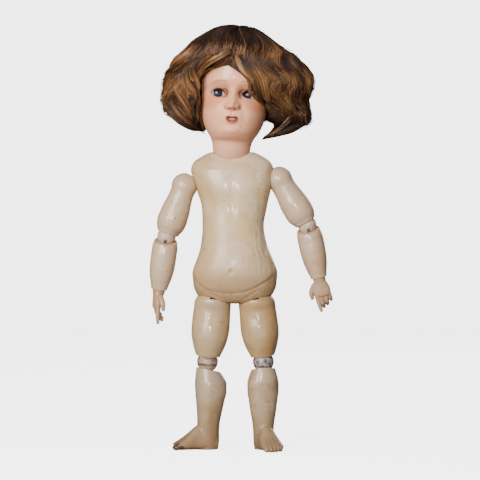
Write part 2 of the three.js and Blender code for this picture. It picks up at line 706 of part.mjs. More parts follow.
function thigh(elasticUp) {
  const rim = kneeBall + kneeRim;
  const rows = [...dome(hipBall, 6).filter(([z]) => z > 6), [5, 19.66, 18.8, 19.66], [-3, 19.8, 17.2, 19.6],
    [-11, 20.2, 17.6, 19.5], [-20, 20.4, 19, 20], [-30, 19.8, 19.5, 19.5], [-40, 17.5],
    [10 - thighLength, 14.4], [5 - thighLength, rim - 0.6], [1 - thighLength, rim - 1.4]];
  const upright = elasticUp.clone().setY(0);
  const start = degrees(Math.atan2(-elasticUp.y, upright.length()));
  const slot = fan(1.2 * hipBall, [upright.normalize().toArray(), [0, -1, 0]],
    start - legSwingBack, start + legSwing);
  return cut(loft(rows, 18), cupTool(kneeCentre, kneeBall),
    sideOf([0, 0, 6.5 - thighLength], vector(tipped(thighRimTilt)).negate().toArray()),
    bore([0, 0, 0], kneeCentre, elasticBore), slot);
}

// Its slot faces straight back, so the lower leg folds back however far it is turned out.
function kneeJoint(leg) {
  const lean = radians(-leg.side * leg.lean);
  const top = [sin(lean) * 2 * kneeBall, 0, cos(lean) * 2 * kneeBall];
  return cut(ball([0, 0, 0], kneeBall), bore([0, 0, 0], top, elasticBore),
    fan(1.2 * kneeBall, [[0, 0, -1], [0, 1, 0]], 0, kneeBend));
}

function shinAndFoot() {
  const ankle = 19 - shinLength;
  const calf = loft([
    [2, kneeBall + 1], [-4, 12.6, 11.8, 12], [-10, 15, 12.6, 16.5], [-16.5, 16.3, 13, 20.7],
    [-24, 17.2, 13.4, 22], [-32, 16.8, 13, 20.8], [-43, 15.4, 12.2, 18.4], [-55, 13.8, 11.3, 15.7],
    [-66, 11.8, 11.2, 13.5], [ankle, 11, 12, 12.8], [9 - shinLength, 10.6, 12, 12.8],
    [-shinLength, 9, 11.5, 11.4],
  ]);
  // Foot: distance in front of the shin's middle, half width, height over and depth under its own middle line
  const instep = 6;
  const foot = loft([
    [-10, 8, 12, instep], [0, 10.4, 20, instep], [12, 10.2, 19.5, instep], [17, 10.8, 15.6, instep],
    [23, 12, 10.4, instep], [29, 12.3, 5.8, instep], [34, 11.4, 2.4, instep], [36.5, 9.5, 0.8, instep - 1],
  ], aroundLimb, 2.4);
  const placed = foot.rotate([90, 0, 0]).translate([0, 0, instep - shinLength]);
  const toes = [-8.4, -4.2, 0, 4, 8.2].map((x, i) => {
    const size = 3.3 - 0.22 * i;
    const length = 38 - 0.35 * (i - 1) ** 2;
    return limb([[x * 0.9, -27, size + 1.5 - shinLength], [x, 1 - length, size - 0.2 - shinLength]],
      [size, size - 0.3], aroundBar, 2);
  });
  return { calf, placed, toes };
}

function lowerLeg(leg) {
  const { calf, placed, toes } = shinAndFoot();
  const whole = join(calf, placed, ...toes);
  const turned = leg.side < 0 ? whole.mirror([1, 0, 0]) : whole;
  return cut(turned, sideOf([0, 0, -shinLength], [0, 0, -1]), cupTool([0, 0, 0], kneeBall),
    sideOf([0, 0, -9.2], tipped(shinRimTilt)),
    bore([0, 0, 0], [0, 0, -plugTop - plugLength - seatGap], plugRadius + seatGap, 10));
}

function shinPlug() {
  return cut(rod([0, 0, -plugTop], [0, 0, -plugTop - plugLength], plugRadius, 10),
    bore([0, 0, 0], [0, 0, -plugTop - 0.7 * plugLength], wireRadius + seatGap));
}

// A wire hook whose shank comes back under the middle of its bend, where it turns in the wooden plug.
function shinHook() {
  const bend = -seatGap - wireRadius - hookBend;
  return limb([
    [0, 0, -plugTop - 0.6 * plugLength], [0, 0, -plugTop - 1], [0, 0, -plugTop + 3], [-hookBend, 0, bend - 3],
    [-hookBend, 0, bend], [0, 0, bend + hookBend], [hookBend, 0, bend], [hookBend, 0, bend - 1.5 * hookBend],
  ], [wireRadius, wireRadius], 5, 12);
}

function legParts(leg) {
  const hip = hipOf(leg);
  const lean = -leg.side * leg.lean;
  const thighTurn = new THREE.Quaternion().setFromEuler(new THREE.Euler(0, radians(lean), 0));
  const elasticUp = vector(hookPoint(leg.side)).sub(vector(hip)).applyQuaternion(thighTurn.invert());
  return groupAt(hip, [0, lean, 0],
    meshOf(`thigh_${leg.name}`, thigh(elasticUp), ivory),
    meshOf(`thigh_elastic_${leg.name}`, cord([0, 0, 0], kneeCentre), cordCloth),
    groupAt(kneeCentre, [0, -lean, 0],
      meshOf(`knee_ball_${leg.name}`, kneeJoint(leg), paleWood),
      meshOf(`shin_hook_${leg.name}`, shinHook(), steel),
      groupAt([0, 0, 0], [0, 0, leg.footTurn],
        meshOf(`lower_leg_${leg.name}`, lowerLeg(leg), ivory),
        meshOf(`shin_plug_${leg.name}`, shinPlug(), bareWood))));
}

// The whole doll, moved so that the soles stand on z = 0 under the middle of its box

const doll = new THREE.Group();
doll.add(...torsoParts(), headParts(), ...arms.map(armParts), ...legs.map(legParts));
const box = new THREE.Box3().setFromObject(doll, true);
const middle = box.getCenter(new THREE.Vector3());
doll.position.set(-middle.x, -middle.y, -box.min.z);

export default doll;
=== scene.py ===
# %% [markdown]
# # A strung play doll
# The doll has a bisque head with glass eyes and a mohair wig, on a body of varnished papier-mache and
# wood. Every limb ends in a ball or a cup, and elastic cord inside pulls them together.
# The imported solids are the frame. They are plain, so almost every one of them gets a finer piece here,
# made from the same rows of sizes.

import bpy
import numpy as np
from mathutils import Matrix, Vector
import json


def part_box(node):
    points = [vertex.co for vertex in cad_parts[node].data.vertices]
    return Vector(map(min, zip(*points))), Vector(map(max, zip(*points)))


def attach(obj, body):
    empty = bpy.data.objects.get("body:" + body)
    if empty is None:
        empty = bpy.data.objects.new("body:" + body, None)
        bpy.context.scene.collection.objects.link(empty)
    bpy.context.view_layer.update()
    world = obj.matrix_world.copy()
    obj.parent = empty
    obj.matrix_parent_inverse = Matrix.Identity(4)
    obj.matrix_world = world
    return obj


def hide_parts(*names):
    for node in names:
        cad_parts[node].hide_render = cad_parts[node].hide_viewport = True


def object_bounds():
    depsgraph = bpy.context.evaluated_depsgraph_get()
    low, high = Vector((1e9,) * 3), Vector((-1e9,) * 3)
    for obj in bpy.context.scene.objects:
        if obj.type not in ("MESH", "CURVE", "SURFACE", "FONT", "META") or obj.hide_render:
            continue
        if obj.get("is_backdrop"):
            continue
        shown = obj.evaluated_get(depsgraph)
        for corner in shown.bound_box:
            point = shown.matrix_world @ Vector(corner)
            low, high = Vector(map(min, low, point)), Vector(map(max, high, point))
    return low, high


MM = 0.001
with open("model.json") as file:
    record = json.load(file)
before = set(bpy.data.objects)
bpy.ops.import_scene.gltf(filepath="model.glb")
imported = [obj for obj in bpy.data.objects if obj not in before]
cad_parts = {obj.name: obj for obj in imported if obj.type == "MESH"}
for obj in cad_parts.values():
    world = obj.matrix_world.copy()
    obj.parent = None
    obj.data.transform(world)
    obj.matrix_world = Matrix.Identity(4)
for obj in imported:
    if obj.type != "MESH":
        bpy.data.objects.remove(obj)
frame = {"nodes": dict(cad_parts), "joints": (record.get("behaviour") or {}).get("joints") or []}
solids_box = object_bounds()
joints = {joint["name"]: joint for joint in frame["joints"]}

# %% [markdown]
# The joints say where each part of the doll is and which way it points. Each part gets a place: its
# middle in millimetres, and its own x, y and z axes. A shape is worked out in those axes first, and
# turned into the doll's frame at the end.

# %% Places of the parts


def joint_at(name):
    return np.array(joints[name]["pos_m"]) / MM


def joint_axis(name):
    return np.array(joints[name]["axis"])


def place(origin, z_axis=(0, 0, 1), x_axis=(1, 0, 0)):
    """The origin and a matrix whose columns are the axes. x is made square to z, and y = z cross x."""
    z = np.asarray(z_axis, float) / np.linalg.norm(z_axis)
    x = x_axis - z * np.dot(x_axis, z)
    x = x / np.linalg.norm(x)
    return np.asarray(origin, float), np.column_stack([x, np.cross(z, x), z])


def turned(where, degrees):
    """The same place, turned about its own z axis."""
    origin, axes = where
    a = np.radians(degrees)
    turn = np.array([[np.cos(a), -np.sin(a), 0], [np.sin(a), np.cos(a), 0], [0, 0, 1]])
    return origin, axes @ turn


def outside(points, where):
    """Points in a part's own axes, in the doll's frame."""
    origin, axes = where
    return np.asarray(points, float) @ axes.T + origin


def inside(points, where):
    """Points in the doll's frame, in a part's own axes."""
    origin, axes = where
    return (np.asarray(points, float) - origin) @ axes


SIDES = {"right": -1, "left": 1}  # the doll's own sides; its right is at -X
HAND_TURN = {"right": -75, "left": 0}
FOOT_TURN = {"right": -74, "left": 18}
head_place = place(joint_at("head_nod"), joint_axis("head_turn"), joint_axis("head_nod"))
doll_x, doll_y = head_place[0][0] + 1, head_place[0][1]  # the neck sits 1 mm to the doll's right
shoulder, elbow, wrist, hip, knee, foot = {}, {}, {}, {}, {}, {}
for side, sign in SIDES.items():
    upper, lower = joint_axis(f"elbow_turn_{side}") * sign, joint_axis(f"wrist_turn_{side}") * sign
    shoulder[side] = place(joint_at(f"shoulder_swing_{side}"), upper)
    elbow[side] = place(joint_at(f"elbow_bend_{side}"), lower)
    wrist[side] = turned(place(joint_at(f"wrist_turn_{side}"), lower), HAND_TURN[side])
    hip[side] = place(joint_at(f"hip_swing_{side}"), joint_axis(f"knee_turn_{side}") * sign)
    knee[side] = place(joint_at(f"knee_bend_{side}"))
    foot[side] = turned(knee[side], FOOT_TURN[side])
hip_line = (hip["right"][0][2] + hip["left"][0][2]) / 2
torso_place = place((doll_x, doll_y, hip_line))


def hook_point(sign):
    """Where a leg's cord hangs on the neck hook, a little to its own side."""
    return outside([sign * 2.9, 5, -31], head_place)


print("neck pivot:", head_place[0].round(1), "hip line:", round(hip_line, 1))

# %% [markdown]
# The camera stands where the photographer did: level, two metres away, a little below the
# middle of the doll. It comes before the pieces, so every look at them is from the same place.

# %% Camera
PHOTO_MM = 516  # what the 480 pixels of the photograph span at the doll
DISTANCE = 2000
CAMERA_LEFT, CAMERA_HEIGHT = 8.06, 224.7  # how far it stands to the doll's left, and how high
camera_data = bpy.data.cameras.new("camera")
camera_data.sensor_width = 36
camera_data.lens = camera_data.sensor_width * DISTANCE / PHOTO_MM
camera = bpy.data.objects.new("camera", camera_data)
camera.location = Vector((doll_x + CAMERA_LEFT, doll_y - DISTANCE, CAMERA_HEIGHT)) * MM
camera.rotation_euler = (np.pi / 2, 0, 0)
bpy.context.scene.collection.objects.link(camera)
bpy.context.scene.camera = camera
print("lens:", round(camera_data.lens, 1), "mm")

# %% [markdown]
# ## Meshes from arrays
# A shape here is a grid of points: rings up the part, and places round each ring. Numpy works the
# whole grid out at once, and the mesh takes it in one go, which is far quicker than adding points one
# by one.

# %% From points to a mesh


def signed_volume(points, faces):
    """Six times the volume that the faces close, negative where they point inwards: the sum of
    a . (b x c) over their triangles."""
    a, *rest = (points[corner] for corner in faces.T)
    return sum(np.einsum("ij,ij->", a, np.cross(b, c)) for b, c in zip(rest[:-1], rest[1:]))


def mesh_object(name, points, quads=None, triangles=None):
    """A mesh object from points in millimetres, with all its faces pointing out of the solid."""
    quads = np.zeros((0, 4), int) if quads is None else np.asarray(quads)
    triangles = np.zeros((0, 3), int) if triangles is None else np.asarray(triangles)
    volume = sum(signed_volume(points, faces) for faces in (quads, triangles) if len(faces))
    if volume < 0:
        quads, triangles = quads[:, ::-1], triangles[:, ::-1]
    mesh = bpy.data.meshes.new(name)
    mesh.vertices.add(len(points))
    mesh.vertices.foreach_set("co", (points * MM).astype(np.float32).ravel())
    corners = np.concatenate([quads.ravel(), triangles.ravel()])
    mesh.loops.add(len(corners))
    mesh.loops.foreach_set("vertex_index", corners.astype(np.int32))
    starts = np.concatenate([np.arange(len(quads)) * 4, len(quads) * 4 + np.arange(len(triangles)) * 3])
    mesh.polygons.add(len(starts))
    mesh.polygons.foreach_set("loop_start", starts.astype(np.int32))
    mesh.update(calc_edges=True)
    piece = bpy.data.objects.new(name, mesh)
    bpy.context.scene.collection.objects.link(piece)
    return piece


def closed_skin(grid, ends=None):
    """Points, quads and triangles of a closed skin: a grid of rings, and a fan to a point at each end."""
    rings, round_count, _ = grid.shape
    first, last = (grid[0].mean(0), grid[-1].mean(0)) if ends is None else ends
    points = np.concatenate([grid.reshape(-1, 3), [first, last]])
    here = np.arange(round_count)
    there = (here + 1) % round_count
    up = np.arange(rings - 1)[:, None] * round_count
    quads = np.stack([up + here, up + there, up + round_count + there, up + round_count + here], -1)
    top = (rings - 1) * round_count
    low_fan = np.stack([there, here, np.full(round_count, len(points) - 2)], -1)
    high_fan = np.stack([top + here, top + there, np.full(round_count, len(points) - 1)], -1)
    return points, quads.reshape(-1, 4), np.concatenate([low_fan, high_fan])


# %% [markdown]
# Most parts of the doll are turned or pressed shapes whose level sections are ovals. A row gives a
# height, a half width, a depth in front and one behind, a shift to the left and how square the oval
# is. Rows in between come from a monotone cubic, which never swings past the rows it joins.

# %% Lofts


def full_rows(rows, squareness=2.0):
    """Rows as an array of height, half width, front, back, shift and squareness."""
    filled = []
    for z, wide, *rest in rows:
        front = rest[0] if rest else wide
        back = rest[1] if len(rest) > 1 else front
        shift = rest[2] if len(rest) > 2 else 0.0
        filled.append([z, wide, front, back, shift, rest[3] if len(rest) > 3 else squareness])
    return np.array(filled, float)


def monotone(t, values, at):
    """Cubic pieces through the values. A slope is the harmonic mean of its two neighbours' slopes, or 0
    where the values turn back."""
    h = np.diff(t)[:, None]
    rise = np.diff(values, axis=0) / h
    same = rise[:-1] * rise[1:] > 0
    near, far = 2 * h[1:] + h[:-1], h[1:] + 2 * h[:-1]
    with np.errstate(divide="ignore", invalid="ignore"):
        middle = (near + far) / (near / rise[:-1] + far / rise[1:])
    slopes = np.concatenate([rise[:1], np.where(same, middle, 0), rise[-1:]])
    i = np.clip(np.searchsorted(t, at, side="right") - 1, 0, len(t) - 2)
    step = h[i]
    s = (at - t[i])[:, None] / step
    return (values[i] * (1 + 2 * s) * (1 - s) ** 2 + slopes[i] * step * s * (1 - s) ** 2
            + values[i + 1] * s * s * (3 - 2 * s) + slopes[i + 1] * step * s * s * (s - 1))


def smooth_rows(rows, spacing=0.8, soften=3):
    """Rows about `spacing` mm apart along the profile, softened by averaging each with its neighbours."""
    rows = full_rows(rows) if not isinstance(rows, np.ndarray) else rows
    along = np.hypot(np.diff(rows[:, 0]), np.diff(rows[:, 1:4].mean(1)))
    t = np.concatenate([[0], np.cumsum(np.maximum(along, 1e-6))])
    fine = monotone(t, rows, np.linspace(0, t[-1], max(int(t[-1] / spacing), 8)))
    for _ in range(soften):
        fine[1:-1] = (fine[:-2] + 2 * fine[1:-1] + fine[2:]) / 4
    return fine


def smoothstep(t, low=0.0, high=1.0):
    """0 below low, 1 above high, and 3 s^2 - 2 s^3 in between."""
    s = np.clip((t - low) / (high - low), 0, 1)
    return s * s * (3 - 2 * s)


def dome(radius, steps=12):
    """Rows of a ball's top half from its pole down: height r cos a, half width r sin a."""
    a = np.arange(steps) * np.pi / 2 / steps
    return [[radius * np.cos(x), radius * np.sin(x)] for x in a]


def ovals(rows, angles):
    """One ring per row. At the angle a its radius is (|cos a / wide|^n + |sin a / deep|^n)^(-1/n)."""
    z, wide, front, back, shift, n = (column[:, None] for column in rows.T)
    c, s = np.cos(angles)[None], np.sin(angles)[None]
    deep = np.where(s < 0, front, back)
    wide, deep = np.maximum(wide, 1e-6), np.maximum(deep, 1e-6)
    radius = (np.abs(c / wide) ** n + np.abs(s / deep) ** n) ** (-1 / n)
    return np.stack([shift + radius * c, radius * s, z + 0 * radius], -1)


def loft(name, rows, where, around=128, spacing=0.8, soften=3, sculpt=None, mirrored=False, angles=None):
    """A closed loft, with `sculpt` applied to its grid in the part's own axes before it is placed."""
    fine = smooth_rows(rows, spacing, soften)
    angles = np.arange(around) * 2 * np.pi / around if angles is None else angles
    grid = ovals(fine, angles)
    ends = [[fine[i][4], 0, fine[i][0]] for i in (0, -1)]
    first, last = fine[0][1] < 0.01, fine[-1][1] < 0.01
    grid = grid[int(first):len(grid) - int(last)]
    if sculpt is not None:
        grid = sculpt(grid)
    if mirrored:
        grid = grid * [-1, 1, 1]
        ends = [[-x, y, z] for x, y, z in ends]
    points, quads, triangles = closed_skin(grid, ends)
    return mesh_object(name, outside(points, where), quads, triangles)


# %% [markdown]
# ## Cutting cups
# A cup is the ball of the next part, a little larger, cut out of this one. A Boolean modifier does it
# exactly, and its result is kept as a plain mesh. The rims stay sharp, as on the pressed shells.

# %% Cutting tools and cuts
BALL_GAP = 0.4  # between a ball and its cup
CORD_BORE = 3.4  # the radius of a cord's hole
NECK_BORE, FOREARM_BORE, HAND_BORE, SHIN_BORE = 12.8, 4.6, 2.9, 5.3  # for the neck's button and the hooks


def ball(name, centre, radius, around=96):
    """A ball: rings at equal polar angles."""
    polar = np.linspace(0, np.pi, around // 2 + 1)[1:-1, None]
    turn = np.arange(around)[None] * 2 * np.pi / around
    grid = np.stack([np.sin(polar) * np.cos(turn), np.sin(polar) * np.sin(turn),
                     np.cos(polar) + 0 * turn], -1) * radius + centre
    poles = [np.add(centre, [0, 0, radius]), np.add(centre, [0, 0, -radius])]
    return mesh_object(name, *closed_skin(grid, poles))


def bar(name, start, end, radius, around=24):
    """A straight round bar: a circle carried from one point to the other."""
    where = place(start, np.subtract(end, start), (0.31, 0.95, 0.05))
    turn = np.arange(around) * 2 * np.pi / around
    ring = np.stack([np.cos(turn), np.sin(turn), 0 * turn], -1) * radius
    length = np.linalg.norm(np.subtract(end, start))
    grid = np.stack([ring, ring + [0, 0, length]])
    return mesh_object(name, *closed_skin(outside(grid, where)))


def block(name, point, direction, size=400):
    """Everything on one side of a plane, as a large block on the side that the direction points to."""
    where = place(point, direction, (0.31, 0.95, 0.05))
    corners = np.array([[-1, -1], [1, -1], [1, 1], [-1, 1]]) * size
    grid = np.stack([np.column_stack([corners, np.zeros(4)]), np.column_stack([corners, np.full(4, size)])])
    return mesh_object(name, *closed_skin(outside(grid, where)))


def cord_slot(name, where, radius, along, across, start, end, half_width=CORD_BORE, beyond=8):
    """The room that a cord sweeps in a ball: a sector between two angles, as thick as the cord's bore."""
    along, across = np.asarray(along, float), np.asarray(across, float)
    normal = np.cross(along, across)
    turn = np.radians(np.linspace(start - beyond, end + beyond, 14))[:, None]
    arc = radius * (np.cos(turn) * along + np.sin(turn) * across)
    outline = np.concatenate([[-4 * (arc[0] + arc[-1]) / radius / 2], arc])
    grid = np.stack([outline - half_width * normal, outline + half_width * normal])
    return mesh_object(name, *closed_skin(outside(grid, where)))


def settle(piece):
    """Applies the piece's modifiers and keeps the result as its mesh."""
    depsgraph = bpy.context.evaluated_depsgraph_get()
    mesh = bpy.data.meshes.new_from_object(piece.evaluated_get(depsgraph))
    piece.modifiers.clear()
    piece.data = mesh
    return piece


def combine(piece, operation, *tools):
    for tool in tools:
        change = piece.modifiers.new(operation.lower(), "BOOLEAN")
        change.operation = operation
        change.solver = "MANIFOLD"
        change.object = tool
    settle(piece)
    for tool in tools:
        bpy.data.objects.remove(tool)
    return piece


def carve(piece, *tools):
    return combine(piece, "DIFFERENCE", *tools)


def smooth_shaded(piece, sharp_from=38):
    """Smooth shading, with hard edges only where two faces meet at more than the given angle."""
    piece.data.shade_smooth()
    piece.data.set_sharp_from_angle(angle=np.radians(sharp_from))
    return piece


def points_of(piece):
    co = np.zeros(len(piece.data.vertices) * 3, np.float32)
    piece.data.vertices.foreach_get("co", co)
    return co.reshape(-1, 3).astype(float) / MM


def keep(piece, name, values):
    """Stores numbers or vectors on the points, for the finish to read."""
    values = np.asarray(values, np.float32)
    kind, key = ("FLOAT_VECTOR", "vector") if values.ndim == 2 else ("FLOAT", "value")
    attribute = piece.data.attributes.new(name, kind, "POINT")
    attribute.data.foreach_set(key, values.ravel())


def near_balls(piece, balls, reach=5.0):
    """1 on the rims of the cups and fading to 0 at `reach` mm from them, where dirt and wear collect."""
    points = points_of(piece)
    gap = np.full(len(points), 1e3)
    for centre, radius in balls:
        gap = np.minimum(gap, np.abs(np.linalg.norm(points - centre, axis=1) - radius))
    return np.clip(1 - gap / reach, 0, 1) ** 2


print("tools ready")

# %% [markdown]
# ## The torso
# The torso was pressed in two halves and glued along its sides, then covered in thick varnish. Its
# shape is a loft, and the belly, navel, groin, shoulder blades and seat are pushed out of it or into
# it: each one adds a soft bump or groove along the direction that the surface faces.

# %% Torso
torso_rows = [
    [4.5, 25, 9, 13, 2.4], [6.5, 34, 16, 21, 2.4], [12, 39, 22, 26.5, 2.4], [24, 44.3, 29, 31, 2.6],
    [36, 45.2, 32.5, 30, 2.6], [52, 40.6, 33, 25.4, 2.5], [68, 35.3, 31, 21, 1.6], [88, 32.6, 27, 20, 0.7],
    [110, 35.2, 26, 23, 2.1], [132, 41.2, 27, 25, 1], [148, 44.4, 24.5, 24, 0.1], [156, 41.6, 19.3, 22, 0],
    [163, 32, 13, 20, 0], [167, 23.5, 9, 17, 0],
]
NECK_BALL, SHOULDER_BALL, ELBOW_BALL, WRIST_BALL = 20.5, 14, 10, 6.9
HIP_BALL, KNEE_BALL = 20.3, 11.3


def bump(x, z, x0, z0, wide, high):
    """exp(-(dx / wide)^2 - (dz / high)^2): 1 in the middle and 0 far away."""
    return np.exp(-((x - x0) / wide) ** 2 - ((z - z0) / high) ** 2)


def path_distance(x, z, path):
    """Distance in the front view from each point to a line of segments."""
    best = np.full(x.shape, 1e3)
    for (x0, z0), (x1, z1) in zip(path[:-1], path[1:]):
        dx, dz = x1 - x0, z1 - z0
        t = np.clip(((x - x0) * dx + (z - z0) * dz) / (dx * dx + dz * dz), 0, 1)
        best = np.minimum(best, np.hypot(x - x0 - t * dx, z - z0 - t * dz))
    return best


def uneven(grid, size, period, seed):
    """A slow hand-made unevenness: three slanted sine waves multiplied and summed."""
    turns = np.random.default_rng(seed).normal(size=(3, 3)) / period
    waves = [np.sin(grid @ turn * 2 * np.pi + seed + i) for i, turn in enumerate(turns)]
    return size * (waves[0] * waves[1] + waves[1] * waves[2] + waves[2]) / 2


def pushed(grid, amount):
    """Moves each point of a grid along its outward direction in its own level section."""
    out = grid * [1, 1, 0]
    out = out / np.maximum(np.linalg.norm(out, axis=-1, keepdims=True), 1e-6)
    return grid + out * amount[..., None]


belly_edge = [(-41, 34), (-36, 26), (-27.4, 19.7), (-14, 16.6), (-1.9, 15.7), (12, 17), (23.7, 21.6),
              (37, 29.5), (43, 36)]
groin_lines = [[(-30, 18.5), (-14, 11.5), (-3.2, 6)], [(26, 18.5), (16, 12), (7, 6)]]


def torso_relief(grid):
    """Adds the modelling of the front and the back, and the seam between them, to a plain torso."""
    x, y, z = np.moveaxis(grid, -1, 0)
    edge_height = np.interp(x, [p[0] for p in belly_edge], [p[1] for p in belly_edge])
    belly = 1 / (1 + np.exp(-(z - edge_height) / 1.1)) * np.exp(-((z - 40) / 22) ** 2)
    crease = np.exp(-(path_distance(x, z, belly_edge) / 1.3) ** 2) * np.clip((44 - np.abs(x - 1)) / 10, 0, 1)
    groin = sum(np.exp(-(path_distance(x, z, line) / 1.1) ** 2) for line in groin_lines)
    navel = -2.2 * bump(x, z, -1.6, 39.3, 1.9, 2.1) + 0.5 * bump(x, z, -1.6, 40.5, 4.5, 4.5)
    chest = sum(1.1 * bump(x, z, 1 + s * 17, 120, 13, 12) for s in (-1, 1)) - 0.5 * bump(x, z, 0, 118, 4, 22)
    collar = sum(0.8 * bump(x, z, s * 19, 147, 13, 3.5) for s in (-1, 1))
    dents = (-0.9 * bump(x, z, 26, 142, 3.5, 7) - 0.7 * bump(x, z, 30, 108, 3, 9)
             - 0.5 * bump(x, z, -31, 62, 3, 10) - 0.6 * bump(x, z, 33, 55, 3, 12)
             - 1.4 * bump(x, z, 42.5, 145, 4, 7))
    flank = smoothstep(x, 17, 27) * np.exp(-((z - 62) / 26) ** 2)
    ripples = np.sin(x * 1.15 + z * 0.16 + 0.9 * np.sin(z * 0.21))
    wrinkles = 0.3 * flank * ripples * (0.6 + 0.4 * np.sin(z * 0.33 + 1))
    ahead = wrinkles + 1.5 * belly - 0.75 * crease - 0.7 * groin + navel + chest + collar + dents
    spine = -1.6 * np.exp(-((x - 1) / 4.5) ** 2)
    spine = spine * np.clip((z - 32) / 20, 0, 1) * np.clip((160 - z) / 30, 0, 1)
    seat = sum(2.6 * bump(x, z, 2.4 + s * 18, 24, 15, 14) for s in (-1, 1))
    cleft = -4.6 * np.exp(-((x - 2.4) / 3) ** 2) * np.clip((42 - z) / 22, 0, 1)
    blades = sum(1.5 * bump(x, z, s * 19, 130, 10, 15) for s in (-1, 1))
    amount = np.where(y < 0, ahead, spine + seat + cleft + blades)
    facing = np.clip(np.abs(y) / 9, 0, 1)
    seam = 0.3 * np.exp(-(y / 0.8) ** 2)
    return pushed(grid, amount * facing + seam + uneven(grid, 0.22, 42, 5))


torso = loft("torso", [row + [2.3] for row in torso_rows], torso_place, around=272, spacing=0.85,
             sculpt=torso_relief)
neck_centre = head_place[0]
torso_balls = [(neck_centre, NECK_BALL)] + [(shoulder[s][0], SHOULDER_BALL) for s in SIDES] + [
    (hip[s][0], HIP_BALL) for s in SIDES]
carve(torso, *[ball(f"cup_{i}", centre, radius + BALL_GAP) for i, (centre, radius) in enumerate(torso_balls)],
      bar("neck_bore", neck_centre, neck_centre - [0, 0, 33], NECK_BORE),
      bar("arm_bore", shoulder["right"][0], shoulder["left"][0], CORD_BORE),
      *[bar(f"leg_bore_{side}", hip[side][0], hook_point(sign), CORD_BORE) for side, sign in SIDES.items()])
smooth_shaded(torso)
print("torso:", len(torso.data.polygons), "faces")

# %% [markdown]
# ## Arms
# The upper arm ends in a ball above and a cup below, the forearm has a cup at each end, and a loose
# wooden ball sits between them. A slot in each ball lets the cord swing as the joint bends. Both arms
# have the same rows.

# %% Arms and elbow balls
FOREARM = 59.5  # from the elbow's middle to the wrist's
ELBOW_RIM, WRIST_RIM = 11.6, 8.5
ELBOW_BEND = (-5, 55)
upper_arm_rows = dome(SHOULDER_BALL) + [
    [0, 14], [-8, 12.8], [-17, 13.6], [-27.5, 15.2], [-39, 15.9], [-47, 14.7], [-52, ELBOW_RIM + 0.6],
    [-54, ELBOW_RIM]]
forearm_rows = [
    [6, ELBOW_RIM - 0.8], [0, ELBOW_RIM - 0.2], [-6, 12.5], [-13.5, 13.8], [-24, 13.9], [-35, 13.3],
    [-46, 11.6], [-54.5, WRIST_RIM + 0.8], [-58.3, WRIST_RIM]]


def hand_finished(seed):
    """A slow unevenness, which fades out on the ball at a limb's upper end."""
    def relief(grid):
        return pushed(grid, uneven(grid, 0.16, 26, seed) * np.clip(-grid[..., 2] / 8, 0, 1))
    return relief


def toward(angle):
    """Straight up in a part's own axes, tipped forwards by the angle."""
    return np.array([0, -np.sin(np.radians(angle)), np.cos(np.radians(angle))])


across = joint_at("shoulder_swing_left") - joint_at("shoulder_swing_right")
shoulder_tilt = np.degrees(np.arctan2(across[2], across[0]))
arm_pieces = {}
for side, sign in SIDES.items():
    at_shoulder, at_elbow = shoulder[side], elbow[side]
    lean = np.degrees(np.arccos(at_shoulder[1][2, 2]))
    inward = -sign * shoulder_tilt + lean
    elbow_middle, wrist_middle = at_elbow[0], wrist[side][0]
    slot_along = [-sign, 0, 0]
    upper_arm = loft(f"upper_arm_shell_{side}", upper_arm_rows, at_shoulder, around=96,
                     sculpt=hand_finished(3 + sign), mirrored=sign > 0)
    carve(upper_arm, ball("cup", elbow_middle, ELBOW_BALL + BALL_GAP),
          bar("bore", at_shoulder[0], elbow_middle, CORD_BORE),
          cord_slot("slot", at_shoulder, 1.2 * SHOULDER_BALL, slot_along, [0, 0, 1], inward, inward + 60))
    elbow_ball = ball(f"elbow_ball_turned_{side}", elbow_middle, ELBOW_BALL, 64)
    above_elbow = outside([0, 0, 20], (elbow_middle, at_shoulder[1]))
    carve(elbow_ball, bar("bore", elbow_middle, above_elbow, CORD_BORE),
          cord_slot("slot", at_elbow, 1.2 * ELBOW_BALL, [0, 0, -1], [0, -1, 0], *ELBOW_BEND, 1.8, 0),
          *[bar(f"slot_end_{bend}", elbow_middle, outside(20 * toward(180 - bend), at_elbow), 1.9)
            for bend in ELBOW_BEND])
    forearm = loft(f"forearm_shell_{side}", forearm_rows, at_elbow, around=96,
                   sculpt=hand_finished(8 + sign))
    carve(forearm, ball("elbow_cup", elbow_middle, ELBOW_BALL + BALL_GAP),
          ball("wrist_cup", wrist_middle, WRIST_BALL + BALL_GAP),
          block("rim", outside([0, 0, -5.4], at_elbow), at_elbow[1] @ toward(21)),
          bar("bore", elbow_middle, wrist_middle, FOREARM_BORE))
    arm_pieces[side] = [upper_arm, elbow_ball, forearm]
    for piece in arm_pieces[side]:
        smooth_shaded(piece)
    print("arm", side, [len(piece.data.polygons) for piece in arm_pieces[side]])

# %% [markdown]
# ## Hands
# A hand is one solid piece with a ball at the wrist. The palm is a loft and each finger a tapering
# limb. A voxel remesh melts them into one skin, and a few rounds of smoothing fill the corners between
# the fingers, as in a cast from a mould.

# %% Limbs along a curve, and melted shapes


